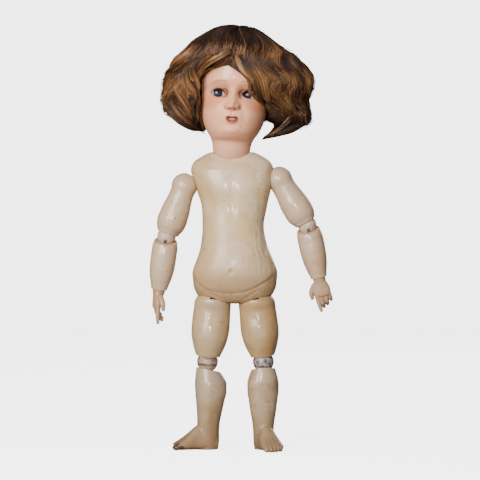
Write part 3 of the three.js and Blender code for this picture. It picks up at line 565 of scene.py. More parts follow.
def limb(points, radii, around=16, steps=18):
    """A round limb: a Catmull-Rom curve through the points carries a circle, with rounded tips."""
    knots = np.asarray(points, float)
    knots = np.vstack([2 * knots[0] - knots[1], knots, 2 * knots[-1] - knots[-2]])
    at = np.linspace(0, len(points) - 1, steps)
    i = np.minimum(at.astype(int), len(points) - 2)
    t = (at - i)[:, None]
    a, b, c, d = (knots[i + k] for k in range(4))
    line = 0.5 * (2 * b + (c - a) * t + (2 * a - 5 * b + 4 * c - d) * t ** 2
                  + (3 * b - a - 3 * c + d) * t ** 3)
    radius = np.interp(at, np.arange(len(radii)) * (len(points) - 1) / (len(radii) - 1), radii)
    ahead = np.gradient(line, axis=0)
    ahead /= np.linalg.norm(ahead, axis=1, keepdims=True)
    side_way = np.cross(ahead, [0.12, 0.31, 0.05])
    side_way /= np.linalg.norm(side_way, axis=1, keepdims=True)
    third = np.cross(ahead, side_way)
    cap = np.radians([72, 50, 25])[:, None]  # the polar angles of each tip's rings
    line = np.vstack([line[0] - ahead[0] * (np.cos(cap[::-1]) * radius[0]), line,
                      line[-1] + ahead[-1] * (np.cos(cap) * radius[-1])])
    radius = np.concatenate([radius[0] * np.sin(cap[::-1, 0]), radius, radius[-1] * np.sin(cap[:, 0])])
    side_way, third = (np.vstack([way[[0] * 3], way, way[[-1] * 3]]) for way in (side_way, third))
    turn = np.arange(around) * 2 * np.pi / around
    return line[:, None] + radius[:, None, None] * (
        np.cos(turn)[None, :, None] * side_way[:, None] + np.sin(turn)[None, :, None] * third[:, None])


def melted(name, skins, where, voxel, rounds, mirrored=False):
    """Several closed skins as one: joined, remeshed in small cubes, and smoothed."""
    points, quads, triangles, count = [], [], [], 0
    for skin in skins:
        p, q, t = closed_skin(skin)
        if signed_volume(p, q) + signed_volume(p, t) < 0:
            q, t = q[:, ::-1], t[:, ::-1]
        points.append(p)
        quads.append(q + count)
        triangles.append(t + count)
        count += len(p)
    points = np.concatenate(points) * ([-1, 1, 1] if mirrored else [1, 1, 1])
    piece = mesh_object(name, outside(points, where), np.concatenate(quads), np.concatenate(triangles))
    remesh = piece.modifiers.new("melt", "REMESH")
    remesh.mode = "VOXEL"
    remesh.voxel_size = voxel * MM
    smooth = piece.modifiers.new("smooth", "SMOOTH")
    smooth.factor, smooth.iterations = 0.5, rounds
    return settle(piece)


# %% [markdown]
# In the hand's own axes it hangs straight down: the fingers curl to +y, the palm's side, and the thumb
# stands off at +x. The rows are the right hand's, and the left hand is its mirror image.

# %% Hands
ROOT = -19.0  # finger roots, below the wrist's middle
palm_rows = dome(WRIST_BALL, 8) + [
    [0, 6.9], [-2.5, 6.6, 6.2], [-7, 8.4, 5.4], [-12, 9.6, 4.9], [-16.5, 9.4, 4.6], [ROOT, 8, 3.6]]
finger_limbs = [
    ([[6.3, 0, ROOT + 3], [5.8, 1.2, ROOT - 6], [5, 2.6, ROOT - 15]], [2.9, 2.6, 1.9]),
    ([[2, 0, ROOT + 2], [1.6, 2.2, ROOT - 6], [1, 7.6, ROOT - 11.5]], [3, 2.7, 2]),
    ([[-2.4, 0, ROOT + 2], [-3.2, 2.5, ROOT - 5.5], [-3.4, 8.5, ROOT - 9.5]], [2.9, 2.6, 1.9]),
    ([[-6.4, 0, ROOT + 3.5], [-7.6, 2.4, ROOT - 2.5], [-8, 7.5, ROOT - 6]], [2.6, 2.3, 1.7]),
    ([[6.6, 1.2, -6.5], [11, 3.4, -12.5], [11.6, 5, -19]], [3.6, 3.1, 2.1]),
]
for side, sign in SIDES.items():
    palm = ovals(smooth_rows(palm_rows, 0.8), np.arange(32) * np.pi / 16)[1:]
    skins = [palm] + [limb(points, radii) for points, radii in finger_limbs]
    hand = melted(f"hand_cast_{side}", skins, wrist[side], 0.42, 7, mirrored=sign > 0)
    hook_room = [outside([0, 0, height], wrist[side]) for height in (20, -11.4)]
    carve(hand, bar("hook_room", *hook_room, HAND_BORE))
    smooth_shaded(hand)
    arm_pieces[side].append(hand)
    print("hand", side, len(hand.data.polygons), "faces")

# %% [markdown]
# ## Legs
# The thigh ends in a large ball above and a cup below, and the knee ball sits between it and the lower
# leg, which is cast in one piece with the foot. Shin, foot and toes are melted together like the hand,
# and a plane gives the foot its flat sole.

# %% Thighs and knee balls
THIGH, SHIN = 58.3, 94.0  # from hip to knee, and from knee to sole
KNEE_RIM = 12.9
thigh_rows = [row for row in dome(HIP_BALL, 16) if row[0] > 6] + [
    [5, 19.66, 18.8, 19.66], [-3, 19.8, 17.2, 19.6], [-11, 20.2, 17.6, 19.5], [-20, 20.4, 19, 20],
    [-30, 19.8, 19.5, 19.5], [-40, 17.5], [-48.3, 14.4], [-53.3, KNEE_RIM - 0.6], [-57.3, KNEE_RIM - 1.4]]
leg_pieces = {}
for side, sign in SIDES.items():
    at_hip, at_knee = hip[side], knee[side]
    knee_middle = at_knee[0]
    thigh = loft(f"thigh_shell_{side}", thigh_rows, at_hip, around=112, soften=2,
                 sculpt=hand_finished(14 + sign))
    cord_top = inside(hook_point(sign), at_hip)
    start = np.degrees(np.arctan2(-cord_top[1], np.hypot(cord_top[0], cord_top[2])))
    upright = cord_top * [1, 0, 1] / np.hypot(cord_top[0], cord_top[2])
    carve(thigh, ball("cup", knee_middle, KNEE_BALL + BALL_GAP),
          block("rim", outside([0, 0, 6.5 - THIGH], at_hip), at_hip[1] @ -toward(5.5)),
          bar("bore", at_hip[0], knee_middle, CORD_BORE),
          cord_slot("slot", at_hip, 1.2 * HIP_BALL, upright, [0, -1, 0], start - 15, start + 55))
    knee_ball = ball(f"knee_ball_turned_{side}", knee_middle, KNEE_BALL, 64)
    carve(knee_ball, bar("bore", knee_middle, outside([0, 0, 22], (knee_middle, at_hip[1])), CORD_BORE),
          cord_slot("slot", at_knee, 1.2 * KNEE_BALL, [0, 0, -1], [0, 1, 0], 0, 60))
    leg_pieces[side] = [thigh, knee_ball]
    for piece in leg_pieces[side]:
        smooth_shaded(piece)
    print("leg", side, [len(piece.data.polygons) for piece in leg_pieces[side]])

# %% [markdown]
# The calf's rows are level sections. The foot's rows are sections across its length, so its loft is laid
# down: a row's height runs forwards and its front faces up. The rows are the left leg's.

# %% Lower legs and feet
calf_rows = [
    [2, KNEE_BALL + 0.6], [-4, 12.2, 11.6, 11.8], [-10, 13.6, 12.4, 13.2], [-16.5, 15.6, 13, 17.4],
    [-24, 17, 13.4, 21], [-32, 16.8, 13, 21], [-43, 15.4, 12.2, 18.4], [-55, 13.8, 11.3, 15.7],
    [-66, 11.8, 11.2, 13.5], [-75, 11, 12, 12.8], [-85, 10.6, 12, 12.8], [-SHIN - 1, 9.4, 11.5, 11.4]]
INSTEP = 6.0
foot_rows = [
    [-10, 8, 12, INSTEP], [0, 10.4, 20, INSTEP], [12, 10.2, 19.5, INSTEP], [17, 10.8, 15.6, INSTEP],
    [23, 12, 10.4, INSTEP], [29, 12.3, 5.8, INSTEP], [34, 11.4, 2.6, INSTEP], [36, 9.8, 1.2, INSTEP - 0.8]]
for side, sign in SIDES.items():
    turn = np.arange(48) * np.pi / 24
    calf = ovals(smooth_rows(calf_rows, 0.9), turn)
    instep = ovals(smooth_rows(full_rows(foot_rows, 2.4), 0.9), turn)
    instep = np.stack([instep[..., 0], -instep[..., 2], INSTEP - SHIN - instep[..., 1]], -1)
    toes = []
    for i, x in enumerate([-8.4, -4.2, 0, 4, 8.2]):
        size = 3.3 - 0.22 * i
        length = 38 - 0.35 * (i - 1) ** 2
        toes.append(limb([[x * 0.9, -26, size + 2.2 - SHIN], [x * 0.97, -32, size + 1.2 - SHIN],
                          [x, 1 - length, size - 0.2 - SHIN]], [size * 0.8, size, size - 0.4]))
    lower_leg = melted(f"lower_leg_cast_{side}", [calf, instep, *toes], foot[side], 0.62, 5,
                       mirrored=sign < 0)
    at_foot = foot[side]
    carve(lower_leg, block("sole", outside([0, 0, -SHIN], at_foot), [0, 0, -1]),
          ball("cup", at_foot[0], KNEE_BALL + BALL_GAP),
          block("rim", outside([0, 0, -8.4], at_foot), at_foot[1] @ toward(-12.5)),
          bar("bore", at_foot[0], at_foot[0] - [0, 0, 27.3], SHIN_BORE))
    smooth_shaded(lower_leg)
    leg_pieces[side].append(lower_leg)
    print("lower leg", side, len(lower_leg.data.polygons), "faces")

# %% [markdown]
# ## The head
# The head was poured in a mould, so the face is one smooth skin. It starts as a loft with twice as
# many points in front as behind, and the forehead, eye sockets, lids, nose, cheeks, lips and chin are
# added as soft bumps. The sockets are sunk until the lids lie just in front of the eyeballs.

# %% Head
EYE_BALL, EYE_HEIGHT, EYE_DEPTH = 8.8, 54.4, 21.0
EYES = {"right": -16.4, "left": 16.4}
GAZE = {"right": -0.3, "left": -1.9}  # how far each iris lies off the middle of its ball
EYE_OPENING = (6.9, 3.9)  # half its width and half its height, as for the mouth
BISQUE_WALL = 3
EYE_GAP = 0.35  # between an eyeball and the head
MOUTH_HEIGHT, MOUTH_OPENING, SMILE = 27.3, (3.1, 1.0), 0.5
head_rows = [[-z, wide] for z, wide in dome(NECK_BALL)] + [[0, NECK_BALL], [4.5, 21.6, 21.8, 21.8]] + [
    [z, wide, front, back, 0, 2.2] for z, wide, front, back in [
        (9, 23.3, 31, 24.5), (15, 27.3, 37, 29), (23, 31.3, 38.6, 35), (33.5, 34.4, 39.5, 39.5),
        (45.5, 35.8, 39.3, 42.5), (58, 36.2, 38.5, 44), (70, 36.5, 41, 44.5), (83, 36.4, 40, 43.3),
        (95, 33.5, 35, 39), (107, 25, 24, 29), (115, 13, 13, 13)]] + [[119, 0]]


def face_relief(grid):
    """Adds the features to a plain head. Their places are mm aside from its middle and above the eyes."""
    x, y, z = np.moveaxis(grid, -1, 0)
    aside, up, depth = np.abs(x), z - EYE_HEIGHT, -y
    add = 0 * x
    # Forehead, temples, cheeks and chin
    add += 1.2 * bump(x, up, 0, 24.4, 20, 14) - 0.8 * bump(aside, up, 31, 8.4, 8, 12)
    add += 1.7 * bump(aside, up, 20, -19.6, 11, 11) + 2.2 * bump(x, up, 0, -39.6, 8.5, 6)
    add -= 1.5 * bump(x, up, 0, -33.4, 9, 3.2)
    # The muzzle, and the groove from nose to lip
    add += 1.9 * bump(x, up, 0, -26.6, 11, 8) - 0.9 * bump(x, up, 0, -20.4, 1.5, 2.8)
    add -= 1.0 * bump(aside, up, 12.5, -24.1, 3.5, 7)
    # Brows and eye sockets, deepest at the inner corners
    add += 1.1 * bump(aside, up, 15, 11.4, 10, 4)
    add -= 4.4 * bump(aside, up, 15.6, 0.6, 10.5, 7.6) + 4.8 * bump(aside, up, 9.2, 0, 4.0, 4.6)
    add += 0.7 * bump(aside, up, 16.4, 5.6, 8.5, 2.0) + 0.5 * bump(aside, up, 16.4, -5.4, 8, 2.0)
    # The nose: a narrow bridge that widens to the tip, the wings, and the undercut below them
    bridge = np.clip((8.4 - up) / 22, 0, 1)
    nose_width = 4.3 + 1.0 * bridge
    rise = 0.8 + 8.4 * bridge ** 1.7
    under = 1 / (1 + np.exp(-(up + 16.4) / 0.75))
    add += rise * under * np.exp(-(aside / nose_width) ** 2) * np.clip((10.4 - up) / 8, 0, 1)
    add += 2.4 * bump(x, up, 0, -13, 4.2, 3.2)
    add += 3.9 * bump(aside, up, 5.7, -14, 2.0, 2.5) * under
    add -= 0.9 * bump(aside, up, 9.4, -14.1, 2.2, 3.4)
    add -= 1.8 * bump(aside, up, 2.9, -16.4, 1.25, 0.85)
    # Lips: a bow above and a fuller roll below
    peaks = 0.9 * (np.abs(aside - 1.9) < 2) * np.cos((aside - 1.9) * np.pi / 4)
    bow = -23.4 - 0.035 * x * x * (aside < 8) + peaks
    lip_fade = np.clip((7.2 - aside) / 2.6, 0, 1)
    add += 1.35 * np.exp(-((up - bow + 0.8) / 1.2) ** 2) * lip_fade
    add += 1.8 * np.exp(-((up + 30.5 - 0.075 * x * x) / 1.7) ** 2) * lip_fade
    depth = depth + add * smoothstep(depth, 4, 18)
    return np.stack([x, -depth, z], -1)


def face_hole(name, x, z, wide, high, deepest, roundness=2.0, tilt=0.0, smile=0.0, around=48):
    """A hole through the face, from in front to the given depth. Its ring is the oval with the given
    roundness, where 2 is an ellipse, less is an almond and more a rounded oblong. A smile lifts its ends."""
    turn = np.arange(around) * 2 * np.pi / around
    across, up = np.cos(turn), np.sin(turn)
    size = (np.abs(across) ** roundness + np.abs(up) ** roundness) ** (-1 / roundness)
    lift = high * size * up + tilt * across + smile * across ** 2
    ring = np.stack([x + wide * size * across, 0 * turn, z + lift], -1)
    grid = np.stack([ring + [0, -90, 0], ring + [0, -deepest, 0]])
    return mesh_object(name, *closed_skin(outside(grid, head_place)))


share = np.arange(360) / 360
head_angles = 2 * np.pi * share - 0.6 * np.cos(2 * np.pi * share)  # closer together in front
head = loft("head_poured", head_rows, head_place, spacing=0.56, soften=4, sculpt=face_relief,
            angles=head_angles)
neck_rows = [[-z, wide] for z, wide in dome(NECK_BALL - BISQUE_WALL)]
inner_rows = full_rows(neck_rows + head_rows[len(neck_rows) + 1:-1])
inner_rows[len(neck_rows):, 1:4] -= BISQUE_WALL
inner_rows = np.vstack([inner_rows, [[119 - BISQUE_WALL, 0, 0, 0, 0, 2.2]]])
inner = loft("head_hollow", inner_rows, head_place, around=96, spacing=2)
eye_middles = {side: outside([x, -EYE_DEPTH, EYE_HEIGHT], head_place) for side, x in EYES.items()}
eye_back = outside([0, -EYE_DEPTH - 3, 0], head_place)  # ahead of this plane the sockets are solid bisque
carve(inner, *[carve(ball(f"socket_{side}", eye_middles[side], EYE_BALL + 4, 64),
                     block("behind_eye", eye_back, head_place[1] @ np.array([0, 1, 0]))) for side in SIDES])
carve(head, inner, block("crown_cut", outside([0, 0, 98], head_place), head_place[1] @ toward(-19)),
      bar("neck_hole", neck_centre, outside([0, 0, -40], head_place), 6),
      *[ball(f"eye_room_{side}", eye_middles[side], EYE_BALL + EYE_GAP) for side in SIDES],
      *[face_hole(f"eye_opening_{side}", x, EYE_HEIGHT, *EYE_OPENING, EYE_DEPTH, 1.75, 0.3 * np.sign(x))
        for side, x in EYES.items()],
      face_hole("mouth_opening", 0, MOUTH_HEIGHT, *MOUTH_OPENING, EYE_DEPTH, 2.6, smile=SMILE))
smooth_shaded(head, 50)
keep(head, "face", inside(points_of(head), head_place) - [0, 0, EYE_HEIGHT])
print("head:", len(head.data.polygons), "faces")

# %% [markdown]
# The eyes are glass balls on a bar with a weight, so they close when the doll lies down. The teeth are
# a small strip of enamel with grooves between them.

# %% Eyes and teeth
BAR_HOLE = 1.5
eye_bar_ends = [outside([x, -EYE_DEPTH, EYE_HEIGHT], head_place) for x in (-60, 60)]
eye_pieces = {}
for side, centre in eye_middles.items():
    eye = ball(f"glass_eye_{side}", centre, EYE_BALL, 72)
    carve(eye, bar("bar_hole", *eye_bar_ends, BAR_HOLE))
    smooth_shaded(eye)
    keep(eye, "look", inside(points_of(eye), (centre, head_place[1])) - [GAZE[side], 0, 0])
    eye_pieces[side] = eye

TEETH_HALF_WIDTH = 4.6
across_teeth = np.linspace(-TEETH_HALF_WIDTH, TEETH_HALF_WIDTH, 90)[:, None]
round_strip = np.arange(24) * 2 * np.pi / 24
groove = np.abs(np.sin(across_teeth / TEETH_HALF_WIDTH * 2 * np.pi)) ** 0.35  # four teeth
teeth_grid = np.stack(np.broadcast_arrays(
    across_teeth,
    1.2 * np.cos(round_strip) * (0.55 + 0.45 * groove) + 0.02 * across_teeth ** 2,
    2.4 * np.sin(round_strip) * (0.88 + 0.12 * groove)), -1)
teeth_box = [np.array(corner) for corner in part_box("teeth")]
teeth_middle = inside((teeth_box[0] + teeth_box[1]) / 2 / MM, head_place)
teeth_grid += teeth_middle - [0, 1.6, 0.3] - teeth_grid.mean((0, 1))
teeth = mesh_object("teeth_enamel", *closed_skin(outside(teeth_grid, head_place)))
smooth_shaded(teeth, 60)
print("eyes and teeth made")

# %% [markdown]
# ## The wig
# The wig is mohair in loose waves, sewn to a gauze cap. It is made the way it is worn: roots on the
# scalp, each lock running outwards and down round the head, and curling under at its tip. One wave
# winds round the whole head, as set hair has, and each lock follows it a little early or late. The
# face keeps an opening: the locks slide sideways round it and close in on the skin at its edge.

# %% Where the hair may lie
HAIR_MIDDLE = np.array([2.0, 3.0, 60.0])
WAVE_LENGTH, WAVE_DEPTH, WAVE_TOP = 33.0, 4.2, 73.0
wig_rows = smooth_rows([
    [10, 40, 20, 40, 0], [18, 55.5, 30, 50, 1.5], [26, 74, 38, 57, 7.5], [36, 81.2, 43, 60, 2.4],
    [47, 81.6, 46, 62, 1.1], [58, 80.5, 49, 63, 3.2], [70, 82.2, 52, 64, 2.2], [84, 78.4, 55, 62, 6.6],
    [97, 66.1, 55, 58, 4.3], [109, 48.7, 50, 51, -0.7], [120, 33.5, 39, 40, -1.5], [127, 21, 27, 27, -1],
    [131, 0, 0, 0, 2]], 1.5, 2)
scalp_rows = smooth_rows(head_rows, 1.5, 3)
face_window = np.array([
    [-3, 86], [4, 77], [15.5, 71], [16, 57], [22, 50], [34, 42.5], [36, 33], [41.5, 30], [44, 24],
    [40, 18.5], [32, 11], [32, -30], [-29, -30], [-29.6, 18], [-33, 23], [-36, 40], [-36, 62.5], [-35.5, 75],
    [-27, 79.5]], float)


def wave_phase(z, turn):
    """The phase of the wave that winds round the head: it climbs by one wave's length in each turn."""
    return 2 * np.pi * (z - WAVE_TOP) / WAVE_LENGTH + np.pi / 2 - turn


def wave_size(z):
    return smoothstep(z, 12, 26) * (1 - smoothstep(z, 96, 118))


def reach_of(directions, rows):
    """How far each ray from the middle of the hair runs inside the loft, found by halving its range."""
    near, far = np.zeros(directions.shape[:-1]), np.full(directions.shape[:-1], 130.0)
    for _ in range(16):
        middle = (near + far) / 2
        x, y, z = np.moveaxis(HAIR_MIDDLE + directions * middle[..., None], -1, 0)
        wide, front, back, shift = (np.interp(z, rows[:, 0], rows[:, i]) for i in range(1, 5))
        deep = np.where(y < 0, front, back)
        within = ((x - shift) / np.maximum(wide, 0.1)) ** 2 + (y / np.maximum(deep, 0.1)) ** 2 < 1
        within &= (z > rows[0, 0]) & (z < rows[-1, 0])
        near, far = np.where(within, middle, near), np.where(within, far, middle)
    return near


def rays(polar, turn):
    """Unit directions: polar angle from straight up, and turn from the front towards the left, +x."""
    return np.stack([np.sin(polar) * np.sin(turn), -np.sin(polar) * np.cos(turn), np.cos(polar)], -1)


def in_window(x, z):
    """Whether each point lies in the opening: a line running from it to the right crosses an odd number
    of the outline's edges."""
    odd = np.zeros(x.shape, bool)
    for (x0, z0), (x1, z1) in zip(face_window, np.roll(face_window, -1, axis=0)):
        crosses = (z0 > z) != (z1 > z)
        with np.errstate(divide="ignore", invalid="ignore"):
            odd ^= crosses & (x < (x1 - x0) * (z - z0) / (z1 - z0) + x0)
    return odd


def crosses_gap(lines):
    """Whether a strand hangs across the gap between the left cheek and the lock below it."""
    shares = (0, 0.2, 0.4, 0.6, 0.8)
    between = np.concatenate([lines[:, :-1] * (1 - t) + lines[:, 1:] * t for t in shares], axis=1)
    x, z = between[..., 0], between[..., 2]
    return (in_window(x, z) & (x > 26) & (z < 30)).any(axis=1)


def round_the_face(points, margin, reach=9.0):
    """Moves what hangs in front of the face to the edge of the opening that the hair leaves, and brings
    what lies within `reach` of that edge back towards the skin."""
    x, z = points[..., 0], points[..., 2]
    hit = in_window(x, z)
    best, to_x, to_z = np.full(x.shape, 1e9), x.copy(), z.copy()
    for (x0, z0), (x1, z1) in zip(face_window, np.roll(face_window, -1, axis=0)):
        t = np.clip(((x - x0) * (x1 - x0) + (z - z0) * (z1 - z0)) / ((x1 - x0) ** 2 + (z1 - z0) ** 2), 0, 1)
        px, pz = x0 + t * (x1 - x0), z0 + t * (z1 - z0)
        gap = np.hypot(x - px, z - pz)
        closer = gap < best
        best, to_x, to_z = np.where(closer, gap, best), np.where(closer, px, to_x), np.where(closer, pz, to_z)
    in_front = (points[..., 1] < -4) | ((x > 28) & (z < 31))
    pull = np.where(hit & in_front, np.minimum(1 + margin / np.maximum(best, 1.0), 1.6), 0)
    moved = points.copy()
    moved[..., 0] += (to_x - x) * pull
    moved[..., 2] += (to_z - z) * pull
    closeness = np.where(in_front, np.where(hit, 1.0, np.exp(-(best / reach) ** 2)), 0)
    wide, front = (np.interp(moved[..., 2], scalp_rows[:, 0], scalp_rows[:, i]) for i in (1, 2))
    skin = -front * np.clip(1 - np.abs(moved[..., 0] / np.maximum(wide, 1)) ** 2.2, 0, 1) ** (1 / 2.2) - 1.2
    moved[..., 1] += np.maximum(0, 0.8 * closeness * (skin - moved[..., 1]))
    return moved


def waved_tone(tone, lines, strength=1.0):
    """A strand's tone at each of its points, with painted light and shade: lighter on the wave's crests and
    darker in its troughs, on the crown, low down and in a hollow by the left temple, where less light falls."""
    x, y, z = np.moveaxis(lines, -1, 0)
    crest = np.cos(wave_phase(z, np.arctan2(x, -y)) - 0.5) * wave_size(z)
    patches = uneven(lines, 1.0, 30, 12)
    dark = 0.42 * smoothstep(z, 92, 118) + 0.4 * (1 - smoothstep(z, 24, 56)) * smoothstep(x, 28, 40)
    dark += 0.28 * (1 - smoothstep(z, 18, 46)) * smoothstep(-x, 28, 40)
    # painted shade in the hollow in front of the left temple
    dark += 0.34 * bump(x, z, 40, 76, 13, 14) * (y < 0)
    return tone + strength * (0.2 * crest + 0.16 * patches) - dark


def swept_turn(turn, z):
    """Turns locks round the face: at each height the turns from 0 to 180 degrees squeeze into what the
    opening leaves, and the same on the other side."""
    heights = [8, 28, 42, 50, 57, 69, 77, 84, 90]
    left_edge = np.radians(np.interp(z, heights, [44, 50, 46, 33, 20, 18, 4, -6, -4]))
    right_edge = np.radians(np.interp(z, heights, [40, 44, 50, 52, 53, 46, 26, 7, 4]))
    edge = np.where(turn > 0, left_edge, right_edge)
    return np.sign(turn) * (edge + (np.pi - edge) * np.abs(turn) / np.pi)


# %% [markdown]
# A lock is a bundle of strands with one root, wave and tip, from which each strand strays a little. A
# strand is a thin tube of three sides, which is enough for hair.

# %% Locks and strands
STRAND_POINTS = 13


def hair_lines(locks, strands, turn_from, turn_to, seed, layer=(0.7, 1.0), root=(4, 55), tip=(14, 34),
               wave=3.4, spread=6.0, rise=0.2):
    """Lines of strands in the head's own axes. A strand's point at s from 0 to 1 lies at the polar angle
    root + s (tip - root), at a depth between scalp and outer surface that rises to its lock's layer."""
    rng = np.random.default_rng(seed)
    s = np.linspace(0, 1, STRAND_POINTS)[None, None]

    def per_lock(low, high):
        return rng.uniform(low, high, (locks, 1, 1))

    def per_strand(size):
        return rng.normal(0, size, (locks, strands, 1))

    turn0 = np.radians(per_lock(turn_from, turn_to))
    turn0 = np.where(turn0 > np.pi, turn0 - 2 * np.pi, turn0)
    root_angle = np.radians(root[0] + (root[1] - root[0]) * per_lock(0, 1) ** 1.4)
    behind = smoothstep(np.abs(turn0), np.radians(120), np.radians(148))
    tip_z = per_lock(*tip) + per_strand(2.2) + 17 * behind
    depth = per_lock(*layer)
    ring = rng.uniform(0, 2 * np.pi, (locks, strands, 1))
    off = np.sqrt(rng.uniform(0, 1, (locks, strands, 1)))
    bundle = spread * (0.45 + 0.75 * smoothstep(s, 0, 0.4)) * (1 - 0.7 * smoothstep(s, 0.65, 1))
    aside, outward = off * np.cos(ring) * bundle, off * np.sin(ring) * bundle * 0.42
    tip_reach = reach_of(rays(np.full(turn0.shape, 2.0), turn0), wig_rows)
    tip_angle = np.arccos(np.clip((tip_z - HAIR_MIDDLE[2]) / np.maximum(tip_reach, 60), -0.95, 0.95))
    polar = root_angle + (tip_angle - root_angle) * s + per_strand(0.02)
    rough = reach_of(rays(polar, np.broadcast_to(turn0, polar.shape)), wig_rows)
    height = HAIR_MIDDLE[2] + rough * np.cos(polar)
    turn = swept_turn(turn0 + 0 * polar, height) + np.radians(per_lock(-14, 14)) * smoothstep(s, 0.1, 1)
    around = np.maximum(rough * np.sin(polar), 9)
    phase = wave_phase(height, turn) + per_lock(-0.7, 0.7) + per_strand(0.15)
    size = per_lock(0.6, 1.3)
    swing = smoothstep(s, 0.08, 0.4)
    turn = turn + (aside + wave * size * swing * np.sin(phase)) / around
    way = rays(polar, turn)
    outer, scalp = reach_of(way, wig_rows), reach_of(way, scalp_rows) + 1.6
    lift = (rise + (1 - rise) * smoothstep(s, 0, 0.3)) * depth
    curl = 9.5 * smoothstep(s, 0.8, 1.0) ** 1.5 * per_lock(0.5, 1.2)
    radius = scalp + np.maximum(outer - scalp, 1.5) * lift
    dent = WAVE_DEPTH * wave_size(height) * (0.6 + 0.5 * size) * (1 - np.cos(phase)) / 2
    radius = np.clip(radius + outward * np.minimum(lift * 2, 1) - dent - curl, scalp + 0.4, outer + 0.8)
    loose = (rng.uniform(0, 1, (locks, strands, 1)) < 0.035) * rng.uniform(0.5, 4, (locks, strands, 1))
    radius = radius + loose * smoothstep(s, 0.25, 0.7) * (1 + np.sin(9 * s + ring)) / 2
    lines = HAIR_MIDDLE + way * radius[..., None]
    lines = round_the_face(lines, 0.8 + rng.uniform(-1.3, 1.6, (locks, strands, 1)))
    tone = np.broadcast_to(per_lock(0.2, 0.85) + per_strand(0.15), (locks, strands, 1))
    lines, tone = lines.reshape(-1, STRAND_POINTS, 3), tone.reshape(-1, 1)
    whole = ~crosses_gap(lines) & (np.arange(len(lines)) % 4 > 0)  # three of four are enough
    return lines[whole], np.clip(waved_tone(tone, lines), 0, 1)[whole]


def lock_lines(path, strands, wide, seed, tone=0.5, flatness=0.4, narrow=(0.5, 0.12)):
    """Strands of one lock along a path of points. Each keeps its place in the lock's oval section, which
    is widest in the middle and narrows to the given shares of its width at root and tip."""
    rng = np.random.default_rng(seed)
    path = np.array(path, float)
    fine = np.linspace(0, len(path) - 1, 97)
    middle = np.stack([np.interp(fine, np.arange(len(path)), path[:, k]) for k in range(3)], -1)
    for _ in range(90):
        middle[1:-1] = (middle[:-2] + 2 * middle[1:-1] + middle[2:]) / 4
    middle = middle[::96 // (STRAND_POINTS - 1)]
    ahead = np.gradient(middle, axis=0)
    out_way = middle - HAIR_MIDDLE
    out_way /= np.linalg.norm(out_way, axis=-1, keepdims=True)
    side_way = np.cross(ahead, out_way)
    side_way /= np.linalg.norm(side_way, axis=-1, keepdims=True)
    s = np.linspace(0, 1, STRAND_POINTS)
    root_share, tip_share = narrow
    width = wide * (root_share + (1 - root_share) * smoothstep(s, 0, 0.4))
    width = width * (1 - (1 - tip_share) * smoothstep(s, 0.55, 1))
    ring, off = rng.uniform(0, 2 * np.pi, (strands, 1)), np.sqrt(rng.uniform(0, 1, (strands, 1)))
    wander = 0.5 * np.sin(2 * np.pi * (1.7 * s + rng.uniform(0, 1, (strands, 1))))
    aside = off * np.cos(ring) * width + wander
    outward = off * np.sin(ring) * width * flatness
    lines = middle + aside[..., None] * side_way + outward[..., None] * out_way
    start = rng.uniform(0, 0.08, (strands, 1, 1))
    lines = lines[:, :1] * start + lines * (1 - start)
    return lines, np.clip(waved_tone(tone + rng.normal(0, 0.24, (strands, 1)), lines, 0.8), 0, 1.3)


def strand_piece(name, lines, tones, thick=0.3, seed=1):
    """Closed three-sided tubes, one along each line, thinner at both ends."""
    count, steps, _ = lines.shape
    along = np.linspace(0, 1, steps)
    ahead = np.gradient(lines, axis=1)
    ahead /= np.maximum(np.linalg.norm(ahead, axis=-1, keepdims=True), 1e-6)
    side_way = np.cross(ahead, lines - HAIR_MIDDLE)
    side_way /= np.maximum(np.linalg.norm(side_way, axis=-1, keepdims=True), 1e-6)
    outward = np.cross(side_way, ahead)
    width = thick * (0.55 + 0.45 * smoothstep(along, 0, 0.2)) * (1 - 0.75 * smoothstep(along, 0.75, 1))
    width = width[None] * np.random.default_rng(seed).uniform(0.75, 1.25, (count, 1))
    turn = np.arange(3) * 2 * np.pi / 3 + np.pi / 2
    corners = lines[:, :, None] + width[..., None, None] * (
        np.cos(turn)[:, None] * side_way[:, :, None] + np.sin(turn)[:, None] * outward[:, :, None])
    first = (np.arange(count) * steps * 3)[:, None]
    low = first[..., None] + (np.arange(steps - 1) * 3)[:, None]
    here, there = np.arange(3), (np.arange(3) + 1) % 3
    quads = np.stack([low + here, low + there, low + 3 + there, low + 3 + here], -1)
    start = first + [[2, 1, 0]]
    end = first + (steps - 1) * 3 + [[0, 1, 2]]
    piece = mesh_object(name, outside(corners.reshape(-1, 3), head_place), quads.reshape(-1, 4),
                        np.concatenate([start, end]))
    piece.data.shade_smooth()
    keep(piece, "along", np.tile(np.repeat(along, 3), count))
    keep(piece, "tone", np.repeat(tones, 3, axis=1).ravel())
    return piece


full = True
share_of_locks = 1.0 if full else 0.5
hair_regions = {
    # name: locks, strands in each, turn from and to, then what differs from the defaults
    "hair_crown": (64, 38, -180, 180, {"root": (2, 14), "tip": (62, 92), "wave": 2.0, "layer": (0.93, 1.0),
                                       "rise": 0.9}),
    "hair_left_front": (54, 46, 2, 62, {"wave": 3.6}),
    "hair_left_side": (54, 46, 60, 118, {"wave": 4.4}),
    "hair_right_front": (54, 46, -62, -2, {"wave": 3.6}),
    "hair_right_side": (54, 46, -118, -60, {"wave": 4.4}),
    "hair_back_left": (54, 46, 115, 182, {"wave": 3.8, "tip": (12, 26)}),
    "hair_back_right": (54, 46, 178, 245, {"wave": 3.8, "tip": (12, 26)}),
}
hair_pieces = []
for i, (name, (locks, strands, start, end, extra)) in enumerate(hair_regions.items()):
    lines, tones = hair_lines(int(locks * share_of_locks), strands, start, end, 20 + i, **extra)
    hair_pieces.append(strand_piece(name, lines, tones, 0.34 if full else 0.46, i))
    print(name, len(lines) * (STRAND_POINTS * 6 - 4), "triangles")
